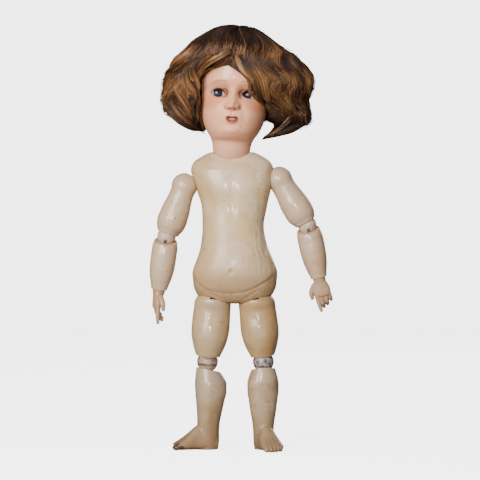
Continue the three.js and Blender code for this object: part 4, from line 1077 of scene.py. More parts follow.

# %% [markdown]
# Some locks are placed one by one, because they make the face: the fringe that sweeps across the left
# brow and over the outer half of that eye, the curls beside both temples, and the lock under the left
# cheek that turns in to a point and leaves a gap beside the jaw.

# %% Locks placed one by one
placed_locks = {
    # each lock: its path from root to tip, half its width in mm and how light it is
    "hair_fringe": [
        ([(4, -40, 104), (8, -52, 92), (15, -53, 81), (23, -50, 70), (26, -46, 59), (28, -42, 51),
          (34, -34, 45)], 5.2, 0.5),
        ([(8, -38, 106), (16, -51, 94), (25, -52, 82), (33, -47, 69), (35, -42, 57), (38, -36, 47),
          (44, -28, 40)], 6.0, 0.8),
        ([(2, -42, 102), (2, -51, 93), (5, -52, 84), (11, -50, 77), (18, -48, 73.5), (24, -46, 70),
          (27, -44, 61)], 3.0, 1.15),
        ([(0, -40, 106), (-5, -50, 99), (-15, -50, 93), (-26, -46, 87), (-35, -39, 80), (-40, -32, 71),
          (-41, -27, 61)], 4.6, 0.85),
        ([(-2, -38, 107), (-14, -47, 101), (-27, -44, 94), (-38, -37, 85), (-44, -32, 74), (-42, -29, 63),
          (-43, -27, 53)], 6.0, 0.6),
    ],
    "hair_temple_curls": [
        ([(-24, -36, 98), (-39, -38, 89), (-48, -37, 79), (-46, -37, 70), (-40, -33, 63), (-38, -28, 54),
          (-38, -25, 45)], 4.6, 0.7),
        ([(-44, -33, 70), (-41, -31, 61), (-38, -28, 52), (-37, -25, 43), (-37.5, -22, 34),
          (-38, -19, 26), (-37, -15, 18)], 3.8, 0.4),
        ([(-30, -30, 100), (-46, -35, 86), (-55, -34, 73), (-53, -34, 61), (-44, -32, 53),
          (-39.5, -28, 45), (-41, -24, 36)], 5.6, 0.75),
        ([(-34, -26, 98), (-54, -27, 82), (-65, -24, 66), (-64, -26, 53), (-54, -27, 43), (-47, -25, 34),
          (-41, -20, 26)], 6.2, 0.8),
        ([(-60, -18, 68), (-70, -16, 52), (-68, -20, 39), (-60, -22, 30), (-50, -21, 22), (-41, -18, 16),
          (-34, -14, 16)], 5.6, 0.6),
        ([(-56, -8, 60), (-73, -6, 47), (-71, -8, 34), (-62, -10, 25), (-52, -10, 19), (-42, -8, 13.5),
          (-33, -6, 15)], 6.0, 0.4),
    ],
    "hair_left_curls": [
        ([(28, -30, 101), (43, -37, 90), (52, -38, 79), (50, -38, 68), (54, -34, 57), (62, -30, 47),
          (64, -27, 37)], 5.6, 0.75),
        ([(34, -26, 101), (56, -30, 90), (67, -28, 79), (66, -29, 68), (60, -30, 59), (62, -29, 49),
          (70, -24, 40)], 6.0, 0.6),
        ([(44, -16, 100), (66, -18, 88), (78, -16, 76), (77, -18, 65), (70, -20, 57), (72, -19, 47),
          (79, -15, 38)], 6.0, 0.7),
        ([(70, -12, 60), (79, -10, 47), (80, -10, 36), (73, -14, 26), (60, -17, 19), (47, -18, 13.5),
          (33, -16, 9.5)], 5.6, 0.6),
        ([(72, -4, 55), (80, -3, 42), (78, -5, 31), (68, -8, 22), (56, -11, 17), (44, -12, 12.5),
          (32, -12, 9)], 5.2, 0.35),
        ([(62, -20, 54), (66, -22, 43), (63, -24, 34), (58, -24, 26), (51, -22, 19.5), (43, -20, 14),
          (33, -16.5, 9.5)], 4.2, 0.8),
    ],
}
for k, (name, locks) in enumerate(placed_locks.items()):
    made = [lock_lines(path, 240 if full else 130, wide, 50 + 10 * k + j, tone)
            for j, (path, wide, tone) in enumerate(locks)]
    lines, tones = (np.concatenate(parts) for parts in zip(*made))
    hair_pieces.append(strand_piece(name, lines, tones, 0.28 if full else 0.4, 40 + k))
print("strand pieces:", len(hair_pieces))

# %% [markdown]
# Under the strands lies the thick of the hair, where single strands can't be told apart. It is a loft
# a little smaller than the wig, with the same wave, and with room for the head, the neck and the face
# cut out of it. The cap is a thin shell of gauze on the head.

# %% Inner hair and cap
core_rows = wig_rows.copy()
core_rows[:, 1:4] = np.maximum(core_rows[:, 1:4] - np.minimum(5.5, core_rows[:, 1:4] * 0.5), 0.01)
core_rows[:, 0] = 14 + (core_rows[:, 0] - 10) * 115 / 121


def core_relief(grid):
    """Draws the skin in by the wave's depth, and roughens it."""
    x, y, z = np.moveaxis(grid, -1, 0)
    dent = WAVE_DEPTH * wave_size(z) * (1 - np.cos(wave_phase(z, np.arctan2(x, -y)))) / 2
    scale = 1 - dent / np.maximum(np.hypot(x, y), 20)
    return pushed(np.stack([x * scale, y * scale, z], -1), uneven(grid, 1.8, 15, 4))


def prism(name, outline, y_from, y_to):
    """An outline in the head's x and z, carried from one depth to another."""
    ring = np.column_stack([outline[:, 0], np.zeros(len(outline)), outline[:, 1]])
    grid = np.stack([ring + [0, y, 0] for y in (y_from, y_to)])
    return mesh_object(name, *closed_skin(outside(grid, head_place)))


inner_hair = loft("wig_inner_hair", core_rows, head_place, around=108, spacing=1.7, sculpt=core_relief)
head_room = full_rows(head_rows)
head_room[:, 1:4] += 2.2
head_room = smooth_rows(head_room, 2)
opening_middle = np.array([0, 40])
wider_window = opening_middle + (face_window - opening_middle) * 1.15
nape = np.array([[-33, -8], [-33, 15], [-12, 38], [24, 41], [46, 31], [46, 21], [37, 8], [37, -8]], float)
carve(inner_hair, loft("head_room", head_room, head_place, around=80, spacing=2),
      prism("window", wider_window, -120, 0), prism("nape", nape, -1, 120),
      bar("neck_room", outside([0, 0, -30], head_place), outside([0, 0, 20], head_place), 36, 48))
smooth_shaded(inner_hair, 60)

cap_rows = full_rows([row for row in head_rows if row[0] > 22])
cap_outer, cap_inner = cap_rows.copy(), cap_rows.copy()
cap_outer[:, 1:4] += 1.4
cap_inner[:, 1:4] += 0.5
cap_outer[-1], cap_inner[-1] = [120.6, 0, 0, 0, 0, 2.2], [119.6, 0, 0, 0, 0, 2.2]
gauze_cap = loft("wig_gauze", cap_outer, head_place, around=80, spacing=2)
carve(gauze_cap, loft("cap_room", cap_inner, head_place, around=80, spacing=2),
      block("hairline", outside([0, 0, 61], head_place), head_place[1] @ np.array([0, -1, -1]) / 2 ** 0.5))
smooth_shaded(gauze_cap, 60)
print("inner hair:", len(inner_hair.data.polygons), "cap:", len(gauze_cap.data.polygons))

# %% [markdown]
# ## Cords
# The elastic is round cord, covered in cotton thread. Each piece runs straight from hook to hook. Its
# skin is a circle whose radius swells where two windings of thread cross.

# %% Elastic cord
ELASTIC = 1.5


def elastic(name, start, end, stop_start, stop_end, around=16):
    """A stretched cord between two points, with rounded ends that stop short of them. Its radius is
    r (0.94 + 0.06 |sin(3 a + 2 z) sin(3 a - 2 z)|) at the angle a and length z."""
    span = np.subtract(end, start)
    length = np.linalg.norm(span) - stop_start - stop_end
    where = place(np.add(start, span / np.linalg.norm(span) * stop_start), span, (0.31, 0.95, 0.05))
    z = np.linspace(0, length, max(int(length / 0.5), 12))[:, None]
    a = np.arange(around)[None] * 2 * np.pi / around
    end_gap = np.minimum(z, length - z)
    round_end = np.sqrt(np.clip(1 - (1 - end_gap / 1.1) ** 2, 0.06, 1)) * (end_gap < 1.1) + (end_gap >= 1.1)
    radius = ELASTIC * round_end * (0.94 + 0.06 * np.abs(np.sin(3 * a + 2 * z) * np.sin(3 * a - 2 * z)))
    grid = np.stack([radius * np.cos(a), radius * np.sin(a), z + 0 * a], -1)
    piece = mesh_object(name, *closed_skin(outside(grid, where)))
    piece.data.shade_smooth()
    x, y, z = inside(points_of(piece), where).T
    keep(piece, "wound", np.column_stack([np.arctan2(y, x), z, 0 * z]))
    return piece


MEET = 1.95  # how far each of two cords stops short of the point where they meet
cords = {}
shoulder_middle = (shoulder["right"][0] + shoulder["left"][0]) / 2
for side, sign in SIDES.items():
    wrist_hook_top = outside([0, 0, -FOREARM + WRIST_BALL + 10], elbow[side])
    cords[side] = {
        "arm_elastic": elastic(f"arm_cord_elastic_{side}", shoulder[side][0], shoulder_middle, MEET, 1.65),
        "upper_arm_elastic": elastic(f"upper_arm_cord_{side}", shoulder[side][0], elbow[side][0], MEET, MEET),
        "forearm_elastic": elastic(f"forearm_cord_{side}", elbow[side][0], wrist_hook_top, MEET, 1.8),
        "leg_elastic": elastic(f"leg_cord_elastic_{side}", hip[side][0], hook_point(sign), MEET, 0.3),
        "thigh_elastic": elastic(f"thigh_cord_{side}", hip[side][0], knee[side][0], MEET, MEET),
    }
print("cords:", sum(len(group) for group in cords.values()))

# %% [markdown]
# ## Finishes
# The patterns are written as sums, so a small class wraps a node's output and turns each operator into
# a Math node. Everything else comes from one method that makes any node.

# %% A way to write finishes


def srgb(text):
    """A colour as written on a screen, in the linear numbers that the renderer adds up."""
    c = np.array([int(text[i:i + 2], 16) for i in (1, 3, 5)]) / 255
    return tuple(np.where(c <= 0.04045, c / 12.92, ((c + 0.055) / 1.055) ** 2.4))


class Value:
    """The output of a node. Each operator on it adds one Math node."""

    def __init__(self, finish, socket):
        self.finish, self.socket = finish, socket

    def maths(self, operation, *values):
        return self.finish.node("Math", {"operation": operation}, values)

    def __add__(self, other):
        return self.maths("ADD", self, other)

    def __sub__(self, other):
        return self.maths("SUBTRACT", self, other)

    def __rsub__(self, other):
        return self.maths("SUBTRACT", other, self)

    def __mul__(self, other):
        return self.maths("MULTIPLY", self, other)

    def __truediv__(self, other):
        return self.maths("DIVIDE", self, other)

    def __pow__(self, other):
        return self.maths("POWER", self, other)

    def __abs__(self):
        return self.maths("ABSOLUTE", self)

    def smaller(self, other):
        return self.maths("MINIMUM", self, other)

    def larger(self, other):
        return self.maths("MAXIMUM", self, other)

    def wave(self):
        return self.maths("SINE", self)

    __radd__, __rmul__ = __add__, __mul__


class Finish:
    """One material. Its fixed numbers go straight onto the shader's sockets."""

    def __init__(self, name, fixed=()):
        self.material = bpy.data.materials.new(name)
        self.material.use_nodes = True
        self.tree = self.material.node_tree
        self.shader = self.tree.nodes["Principled BSDF"]
        for socket, value in dict(fixed).items():
            self.shader.inputs[socket].default_value = value

    def node(self, kind, settings=(), values=(), output=0):
        """Makes a node: settings first, then the values or links of its live sockets."""
        node = self.tree.nodes.new("ShaderNode" + kind)
        for key, value in dict(settings).items():
            if key == "stops":
                stops = node.color_ramp.elements
                stops.remove(stops[1])
                stops[0].position, stops[0].color = value[0][0], (*value[0][1], 1)
                for position, colour in value[1:]:
                    stops.new(position).color = (*colour, 1)
            else:
                setattr(node, key, value)
        live = [socket for socket in node.inputs if socket.enabled]
        for key, value in values.items() if isinstance(values, dict) else enumerate(values):
            self.feed(live[key] if isinstance(key, int) else next(s for s in live if s.name == key), value)
        return Value(self, [socket for socket in node.outputs if socket.enabled][output])

    def feed(self, socket, value):
        if isinstance(value, Value):
            self.tree.links.new(value.socket, socket)
        elif socket.type == "RGBA":
            socket.default_value = (*value, 1)
        else:
            socket.default_value = value

    def place(self, shift=(0, 0, 0)):
        """Object coordinates in metres, moved so that two parts don't share one pattern."""
        return self.node("VectorMath", {"operation": "ADD"},
                         {0: self.node("TexCoord", output=3), 1: shift})

    def stored(self, name, output=1):
        return self.node("Attribute", {"attribute_name": name}, output=output)

    def noise(self, where, scale, detail=3.0, roughness=0.55):
        return self.node("TexNoise", values={"Vector": where, "Scale": scale, "Detail": detail,
                                             "Roughness": roughness})

    def cells(self, where, scale, feature="F1"):
        return self.node("TexVoronoi", {"feature": feature}, {"Vector": where, "Scale": scale})

    def mask(self, value, low, high):
        """0 at low, 1 at high and smooth in between. low may be the larger one."""
        if low > high:
            return 1 - self.mask(value, high, low)
        return self.node("MapRange", {"interpolation_type": "SMOOTHSTEP"},
                         {"Value": value, "From Min": low, "From Max": high})

    def blend(self, factor, under, over):
        return self.node("Mix", {"data_type": "RGBA"}, {0: factor, "A": under, "B": over})

    def shaded(self, colour, amount):
        """The colour times a grey value."""
        grey = self.node("CombineXYZ", values=(amount, amount, amount))
        return self.node("Mix", {"data_type": "RGBA", "blend_type": "MULTIPLY"},
                         {0: 1.0, "A": colour, "B": grey})

    def axes(self, vector):
        return [self.node("SeparateXYZ", values=(vector,), output=i) for i in range(3)]

    def bumped(self, height, distance, strength=1.0):
        return self.node("Bump", values={"Strength": strength, "Distance": distance, "Height": height})

    def done(self, **sockets):
        for name, value in sockets.items():
            self.feed(self.shader.inputs[name.replace("_", " ")], value)
        return self.material


# %% [markdown]
# The composition is paper pulp under thick cream paint and varnish. The varnish has yellowed unevenly,
# holds small dark specks, has fine cracks in places, and is dirty and rubbed round the joints. Each of
# those is a mask, and the masks mix the colours.

# %% Varnished composition


def composition(name, cream, stain, rose, shift, stains=0.6, specks=0.8, gloss=0.75, low=None, sides=None,
                dull=(-2, -1), mottled=0.2):
    """Painted and varnished pulp. `low` is the height in metres at which a browner tone starts, the height
    at which it is full, the tone and its amount. `sides` is the same with distances from the middle. The
    gloss fades from the higher to the lower of the heights `dull`."""
    finish = Finish(name, {"Coat Roughness": 0.15, "Coat IOR": 1.5, "Specular IOR Level": 0.4})
    at = finish.place(shift)
    patches = finish.mask(finish.noise(at, 21, 4, 0.6), 0.46, 0.66)
    warm = finish.mask(finish.noise(at, 47, 5, 0.62), 0.5, 0.72)
    pale = finish.mask(finish.noise(at, 33, 3), 0.52, 0.7)
    colour = finish.blend(patches * stains, cream, stain)
    colour = finish.blend(warm * stains * 0.6, colour, srgb("#bf9a6a"))
    colour = finish.blend(pale * 0.45, colour, rose)
    x, _, z = finish.axes(finish.node("TexCoord", output=3))
    drift = (finish.noise(at, 40, 4) - 0.5) * 0.04
    for measure, limits in ((abs(x), sides), (z, low)):
        if limits:
            start, full_at, tone, amount = limits
            colour = finish.blend(finish.mask(measure + drift, start, full_at) * amount, colour, tone)
    dirt = finish.mask(finish.noise(at, 115, 6, 0.78), 0.5, 0.68)
    dirt = dirt * finish.mask(finish.noise(at, 26, 3), 0.4, 0.6)
    colour = finish.blend(dirt * mottled, colour, srgb("#86633f"))
    cloudy = finish.noise(at, 190, 6, 0.7)
    colour = finish.shaded(colour, 0.9 + cloudy * 0.2)
    spot = finish.cells(at, 210)
    rare = finish.noise(at, 95, 2)
    speck = finish.mask(spot, 0.2, 0.1) * finish.mask(rare, 0.5, 0.58)
    colour = finish.blend(speck * specks, colour, srgb("#6b4c2c"))
    edge = finish.cells(at, 150, "DISTANCE_TO_EDGE")
    cracked = finish.mask(finish.noise(at, 30, 2), 0.55, 0.68)
    crack = finish.mask(edge, 0.035, 0.0) * cracked
    colour = finish.blend(crack * 0.28, colour, srgb("#7d6443"))
    rim = finish.stored("rim", 2)
    grime = rim * finish.mask(finish.noise(at, 240, 4, 0.7) + rim * 0.35, 0.45, 0.85)
    colour = finish.blend(grime * 0.8, colour, srgb("#7c5f41"))
    # Painted shade in the clefts between the toes, where the stored groove number is high
    colour = finish.blend(finish.stored("groove", 2) * 0.55, colour, srgb("#5d432b"))
    bare = finish.mask(finish.stored("bare", 2) + (cloudy - 0.5) * 0.7, 0.38, 0.5)
    colour = finish.blend(bare * 0.92, colour, srgb("#4d3524"))
    smear = finish.noise(at, 70, 3)
    height = finish.noise(at, 55, 2) * 0.9 + finish.noise(at, 420, 3) * 0.12 - crack * 0.12 - speck * 0.1
    return finish.done(Base_Color=colour, Roughness=0.3 + smear * 0.2 + grime * 0.3,
                       Coat_Weight=(finish.mask(finish.noise(at, 26, 5, 0.65), 0.36, 0.6) * 0.75 + 0.25)
                       * (finish.mask(z, *dull) * 0.75 + 0.25) * (1 - bare * 0.9) * gloss,
                       Normal=finish.bumped(height, 0.0009, 0.5))


torso_finish = composition("varnished_torso", srgb("#d8bc99"), srgb("#c9a46f"), srgb("#d4b49e"), (0, 0, 0),
                           stains=0.75, low=(0.235, 0.165, srgb("#a67e52"), 0.7),
                           sides=(0.016, 0.045, srgb("#bb9560"), 0.5), dull=(0.25, 0.285))
arm_finish = composition("varnished_arms", srgb("#c4a687"), srgb("#b58e5e"), srgb("#c8a58e"), (0.3, 0.1, 0))
# The left thigh has the same varnish in darker colours: painted shade, as it lies on the side away from the
# light
thigh_finish = {
    "right": composition("varnished_right_thigh", srgb("#b99a73"), srgb("#a47c48"), srgb("#b7967a"),
                         (0.7, 0.2, 0.1), stains=0.75),
    "left": composition("varnished_left_thigh", srgb("#b0916a"), srgb("#a1773f"), srgb("#ad8a68"),
                        (0.72, 0.25, 0.12), stains=0.8, gloss=0.6, low=(0.12, 0.134, srgb("#ab8053"), 0.45)),
}
shin_finish = composition("varnished_shins", srgb("#b1997a"), srgb("#99754a"), srgb("#ae927e"),
                          (0.2, 0.8, 0.3), stains=0.8, specks=1.0, mottled=0.55,
                          low=(0.055, 0.022, srgb("#8a6b49"), 0.75))
hand_finish = composition("varnished_hands", srgb("#b99474"), srgb("#a3774a"), srgb("#bd917c"),
                          (0.5, 0.4, 0.9), specks=0.6, gloss=0.6)
print("composition is painted; materials so far:", len(bpy.data.materials))

# %% [markdown]
# The feet are darker than the shins, and the big toe of the right foot has lost its paint. The wooden
# balls are whiter, painted but hardly varnished, and scuffed where they rub.

# %% Painted wood and the worn parts


def painted_ball(name, colour, scuffed, shift, scuffs=0.6, crack_at=None):
    """Painted wood, rubbed in patches. At `crack_at` mm above its middle a dark crack runs round it, with
    the shin's paint below."""
    finish = Finish(name, {"Coat Weight": 0.25, "Coat Roughness": 0.3})
    at = finish.place(shift)
    rub = finish.mask(finish.noise(at, 160, 5, 0.75), 0.46, 0.56)
    band = finish.mask(finish.noise(at, 520, 4, 0.8), 0.5, 0.66)
    paint = finish.blend(rub * scuffs, srgb(colour), srgb(scuffed))
    paint = finish.blend(band * scuffs * 0.7, paint, srgb("#5c4a48"))
    if crack_at is not None:
        height = finish.stored("height", 2) + (finish.noise(at, 260, 5, 0.75) - 0.5) * 13 - crack_at
        paint = finish.blend(finish.mask(height, 0.0, -0.6), paint, srgb("#ac9476"))
        paint = finish.blend(finish.mask(abs(height), 1.1, 0.3) * 0.9, paint, srgb("#33241e"))
    return finish.done(Base_Color=paint, Roughness=0.42 + rub * 0.25,
                       Normal=finish.bumped(rub * -0.4 - band * 0.3, 0.0004, 0.6))


elbow_finish = painted_ball("painted_elbow", "#cfb39c", "#a88a74", (0.1, 0, 0.5), 0.4)
knee_finish = {
    "right": painted_ball("worn_right_knee", "#b6977f", "#7a5848", (0.4, 0.1, 0), 0.9, -3.2),
    "left": painted_ball("worn_left_knee", "#a3958f", "#4d4049", (0.9, 0.1, 0), 1.0, -5.2),
}

# %% [markdown]
# ## The painted face
# The bisque is unglazed china with its colour fired in: a pinkish skin tone, soft blush, red-brown
# lips, light brown brows and a dark line along the upper lids. The head keeps its own x, y and z as an
# attribute, with z counted from the eyes' line, so each stroke is a small sum in millimetres.

# %% Bisque
finish = Finish("painted_bisque", {"Specular IOR Level": 0.3, "Coat Roughness": 0.17,
                                   "Subsurface Weight": 0.06, "Subsurface Scale": 0.003})
bisque_at = finish.place((0.15, 0.6, 0.2))
aside, forward, up = finish.axes(finish.stored("face"))
half_x = abs(aside)
in_front = finish.mask(forward, -10, -22)


def spot(x, x0, z0, wide, high, soft=0.25):
    """1 inside an oval and 0 outside it: ((x - x0) / wide)^2 + ((z - z0) / high)^2 below 1."""
    squared = ((x - x0) / wide) ** 2 + ((up - z0) / high) ** 2
    return finish.mask(squared, 1 + soft, 1 - soft) * in_front


def glow(x, x0, z0, wide, high):
    """A spot that fades from its middle to 1.4 times its size."""
    squared = ((x - x0) / wide) ** 2 + ((up - z0) / high) ** 2
    return finish.mask(squared, 1.9, 0.0) * in_front


def beside_lid(past, outer, inner, corners):
    """A stroke along a lid. `past` is the distance from the lid's edge, away from the eye. Each pair says
    where the stroke starts and where it is full: from outside, from inside and from the eye's corners."""
    return finish.mask(past, *outer) * finish.mask(past, *inner) * finish.mask(abs(u), *corners)


mottle = finish.noise(bisque_at, 120, 5, 0.65)
skin = finish.shaded(srgb("#f0a983"), 0.93 + mottle * 0.13)
skin = finish.blend(finish.mask(up, -42, -52) * 0.55, skin, srgb("#d29c80"))
# Painted shade: the top of the forehead, under the hairline, is darker and warmer
skin = finish.blend(finish.mask(up, 17, 31) * 0.55, skin, srgb("#c98f5f"))
skin = finish.blend(glow(half_x, 25, -9, 13, 8) * (0.35 + mottle * 0.5), skin, srgb("#cb7343"))
# Painted shade in the eye sockets: above each eye, and darkest at the inner corners
skin = finish.blend(glow(half_x, 16, 4.5, 13, 8) * 0.55, skin, srgb("#b87c52"))
skin = finish.blend(glow(half_x, 8, 3, 4, 7) * 0.4, skin, srgb("#a8714d"))
# Painted shade under the nose and in the creases beside its wings
skin = finish.blend(glow(aside, 0, -17.5, 5.5, 2.2) * 0.5, skin, srgb("#b9805f"))
skin = finish.blend(glow(half_x, 8.2, -13.5, 1.6, 4) * 0.35, skin, srgb("#b07a5c"))
# Brows: a band along an arch, broken into strokes
arch = 13.4 - (half_x - 13) * (half_x - 13) * 0.035
stroke = (half_x * 5.5 + up * 2.5).wave() * 0.5 + 0.5
brow = finish.mask(abs(up - arch), 1.7, 0.3) * finish.mask(half_x, 6, 9.5) * finish.mask(half_x, 25, 19)
skin = finish.blend(brow * (0.32 + stroke * 0.4) * in_front, skin, srgb("#8a5a36"))
# Eyes: the line of the upper lid, lashes above and below, and a red dot in the inner corner
u = (half_x - EYES["left"]) / EYE_OPENING[0]
lid_height = ((1 - abs(u) ** 1.75).larger(0.0) ** 0.57) * EYE_OPENING[1]
over_lid = up - lid_height
under_lid = lid_height * -1 - up
lid_line = beside_lid(over_lid, (2.5, 0.9), (-1.6, -0.6), (1.28, 1.04))
skin = finish.blend(lid_line * finish.mask(up, -1.2, 0.4) * in_front, skin, srgb("#2c1c16"))
low_line = beside_lid(under_lid, (1.1, 0.2), (-1.4, -0.5), (1.1, 0.9))
skin = finish.blend(low_line * finish.mask(up, 0.6, -0.8) * 0.5 * in_front, skin, srgb("#6e4636"))
lash_stroke = finish.mask((half_x * 4.4 + u * up * 0.9).wave(), 0.1, 0.8)
lashes_over = beside_lid(over_lid, (4.4, 1.0), (0.0, 0.6), (1.35, 1.0))
skin = finish.blend(lashes_over * lash_stroke * 0.85 * in_front, skin, srgb("#4c3224"))
lashes_under = beside_lid(under_lid, (3.2, 0.6), (-0.2, 0.3), (1.2, 0.9))
skin = finish.blend(lashes_under * lash_stroke * 0.4 * in_front, skin, srgb("#6e4a38"))
skin = finish.blend(spot(half_x, 8.6, -0.4, 1.0, 0.8), skin, srgb("#b9574a"))
# Nostrils and lips
skin = finish.blend(spot(half_x, 2.9, -16.6, 1.3, 0.9, 0.5) * 0.75, skin, srgb("#8a4a36"))
bow_dip = finish.mask(half_x, 1.9, 0.0) * 0.7 * finish.mask(up, -26, -24.6)
lip_squared = (half_x / 6.4) ** 2.6 + (abs(up + bow_dip + 27.4 - half_x ** 2 * 0.032) / 3.4) ** 2.6
lip = finish.mask(lip_squared, 1.16, 0.84) * in_front
lip_colour = finish.blend(finish.mask(up, -26.5, -29), srgb("#701812"), srgb("#85211b"))
skin = finish.blend(lip * (0.82 + mottle * 0.2), skin, lip_colour)
# Two small chips on the left of the chin
chip = spot(aside, 10.2, -34.2, 0.5, 1.2, 0.5).larger(spot(aside, 8.6, -39, 0.45, 1.0, 0.5))
skin = finish.blend(chip * 0.8, skin, srgb("#8a6450"))
forehead = finish.mask(up, 10, 22) * finish.mask(aside, 2, -4)  # glossier on its right side
bisque_finish = finish.done(
    Base_Color=skin, Roughness=0.42 + mottle * 0.14, Coat_Weight=forehead * 0.5 - lip * 0.1 + 0.12,
    Normal=finish.bumped(finish.noise(bisque_at, 650, 3) * 0.25 + mottle * 0.3 - chip, 0.0003, 0.45))
print("bisque nodes:", len(finish.tree.nodes))

# %% [markdown]
# A glass eye is white with a printed iris: a dark ring, threads running in to the pupil, and a clear
# dome over all. Above it the ball is painted skin, which is the lid when the eye shuts.

# %% Glass, enamel, hair, cord and the small parts
finish = Finish("glass_eye", {"Roughness": 0.25, "Coat Weight": 0.3, "Coat Roughness": 0.02,
                              "Specular IOR Level": 0.2})
look_x, look_y, look_z = finish.axes(finish.stored("look"))
from_axis = (look_x * look_x + look_z * look_z) ** 0.5
ahead = finish.mask(look_y, 0, -1)
ray = finish.node("VectorMath", {"operation": "NORMALIZE"}, {0: finish.node(
    "CombineXYZ", values=(look_x, 0.0, look_z))})
threads = finish.noise(ray, 9, 4, 0.7)
iris = finish.blend(finish.mask(threads + from_axis * 0.04, 0.55, 0.9), srgb("#1a1a22"), srgb("#444858"))
iris = finish.blend(finish.mask(from_axis, 3.7, 4.8), iris, srgb("#10141f"))
iris = finish.blend(finish.mask(from_axis, 2.2, 1.7), iris, (0.002, 0.002, 0.003))
eye_colour = finish.blend(finish.mask(from_axis, 5.25, 4.8) * ahead, srgb("#ddcfc6"), iris)
# Painted shade of the upper lid across the top of the ball
eye_colour = finish.shaded(eye_colour, 1 - finish.mask(look_z, 1.8, 3.9) * 0.5)
eye_colour = finish.blend(finish.mask(look_z, 4.3, 4.6), eye_colour, srgb("#3a281f"))
eye_colour = finish.blend(finish.mask(look_z, 5.0, 5.4), eye_colour, srgb("#d3a58d"))
eye_finish = finish.done(Base_Color=eye_colour)

finish = Finish("tooth_enamel", {"Roughness": 0.15, "Coat Weight": 0.5})
enamel = finish.blend(finish.noise(finish.place(), 300), srgb("#fff4ea"), srgb("#f6e2d4"))
teeth_finish = finish.done(Base_Color=enamel)


def hair_finish(name, dark, middle_tone, light, lightest):
    """Hair that is lighter in the middle of each strand than at its root and tip: painted shade at the roots,
    under the other hair, and at the tips.
    """
    finish = Finish(name, {"Specular IOR Level": 0.35})
    at = finish.place()
    tone = finish.stored("tone", 2)
    along = finish.stored("along", 2)
    streak = finish.noise(at, 60, 3)
    root_shade, tip_shade = finish.mask(along, 0.5, 0.0) * 0.42, finish.mask(along, 0.72, 1.0) * 0.28
    level = tone * 0.62 + streak * 0.35 + 0.16 - root_shade - tip_shade
    stops = [(0.12, srgb(dark)), (0.5, srgb(middle_tone)), (0.8, srgb(light)), (1.0, srgb(lightest))]
    colour = finish.node("ValToRGB", {"stops": stops}, (level,))
    return finish.done(Base_Color=colour, Roughness=0.44 - tone * 0.1)


strand_finish = hair_finish("mohair_strands", "#120a05", "#3a2315", "#845b37", "#b28355")
# The thick of the hair is darker than the strands: painted shade deep inside the wig
finish = Finish("mohair_thick_painted_shade", {"Specular IOR Level": 0.2})
core_at = finish.node("Mapping", {"vector_type": "POINT"}, {"Vector": finish.place(), "Scale": (1, 1, 0.25)})
furrow = finish.noise(core_at, 420, 4, 0.7)
core_finish = finish.done(Base_Color=finish.blend(furrow, srgb("#1b110a"), srgb("#432b18")),
                          Roughness=0.6 + furrow * 0.2, Normal=finish.bumped(furrow, 0.002, 0.8))

finish = Finish("cotton_cord", {"Roughness": 0.85, "Sheen Weight": 0.3})
wind_a, wind_z, _ = finish.axes(finish.stored("wound"))
weave = abs((wind_a * 3 + wind_z * 2).wave() * (wind_a * 3 - wind_z * 2).wave())
cord_finish = finish.done(Base_Color=finish.blend(weave, srgb("#8d8069"), srgb("#c9bca2")),
                          Normal=finish.bumped(weave, 0.0002, 0.8))

finish = Finish("cap_gauze", {"Roughness": 0.9, "Sheen Weight": 0.3})
gx, gy, gz = finish.axes(finish.place())
mesh_lines = abs((gx * 3600 + gy * 1200).wave()).larger(abs((gz * 3600).wave()))
gauze = finish.blend(finish.mask(mesh_lines, 0.6, 0.95), srgb("#3b281b"), srgb("#6b4c33"))
cap_finish = finish.done(Base_Color=gauze, Normal=finish.bumped(mesh_lines, 0.0002, 0.7))


def grained(name, light, dark, rough=0.7):
    """Wood or plaster with an upright grain."""
    finish = Finish(name)
    at = finish.node("Mapping", {"vector_type": "POINT"}, {"Vector": finish.place(), "Scale": (1, 1, 0.12)})
    grain = finish.noise(at, 900, 5, 0.7)
    return finish.done(Base_Color=finish.blend(grain, srgb(dark), srgb(light)),
                       Roughness=rough + grain * 0.15, Normal=finish.bumped(grain, 0.0002, 0.5))


def plain_metal(name, colour, rough):
    finish = Finish(name, {"Metallic": 1.0})
    tarnish = finish.noise(finish.place(), 700, 4, 0.7)
    return finish.done(Base_Color=finish.shaded(srgb(colour), 0.6 + tarnish * 0.6),
                       Roughness=rough + tarnish * 0.2)


wood_finish = grained("bare_wood", "#b58d5c", "#7f5a34")
plaster_finish = grained("eye_plaster", "#e9e5da", "#cfc8b8", 0.8)
wire_finish = plain_metal("steel_wire", "#8f8d88", 0.35)
lead_finish = plain_metal("eye_lead", "#6f7174", 0.5)
print("finishes:", len(bpy.data.materials))

# %% [markdown]
# ## Putting it together
# Every piece rides on the body of the joint that carries it, and stands for the solid that it
# replaces. The rims near each ball get a number for the dirt that gathers there.

# %% Dress the doll


def fit(piece, finish, body, slot, *nodes):
    piece.data.materials.clear()
    piece.data.materials.append(finish)
    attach(piece, body)
    if nodes:
        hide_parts(*nodes)


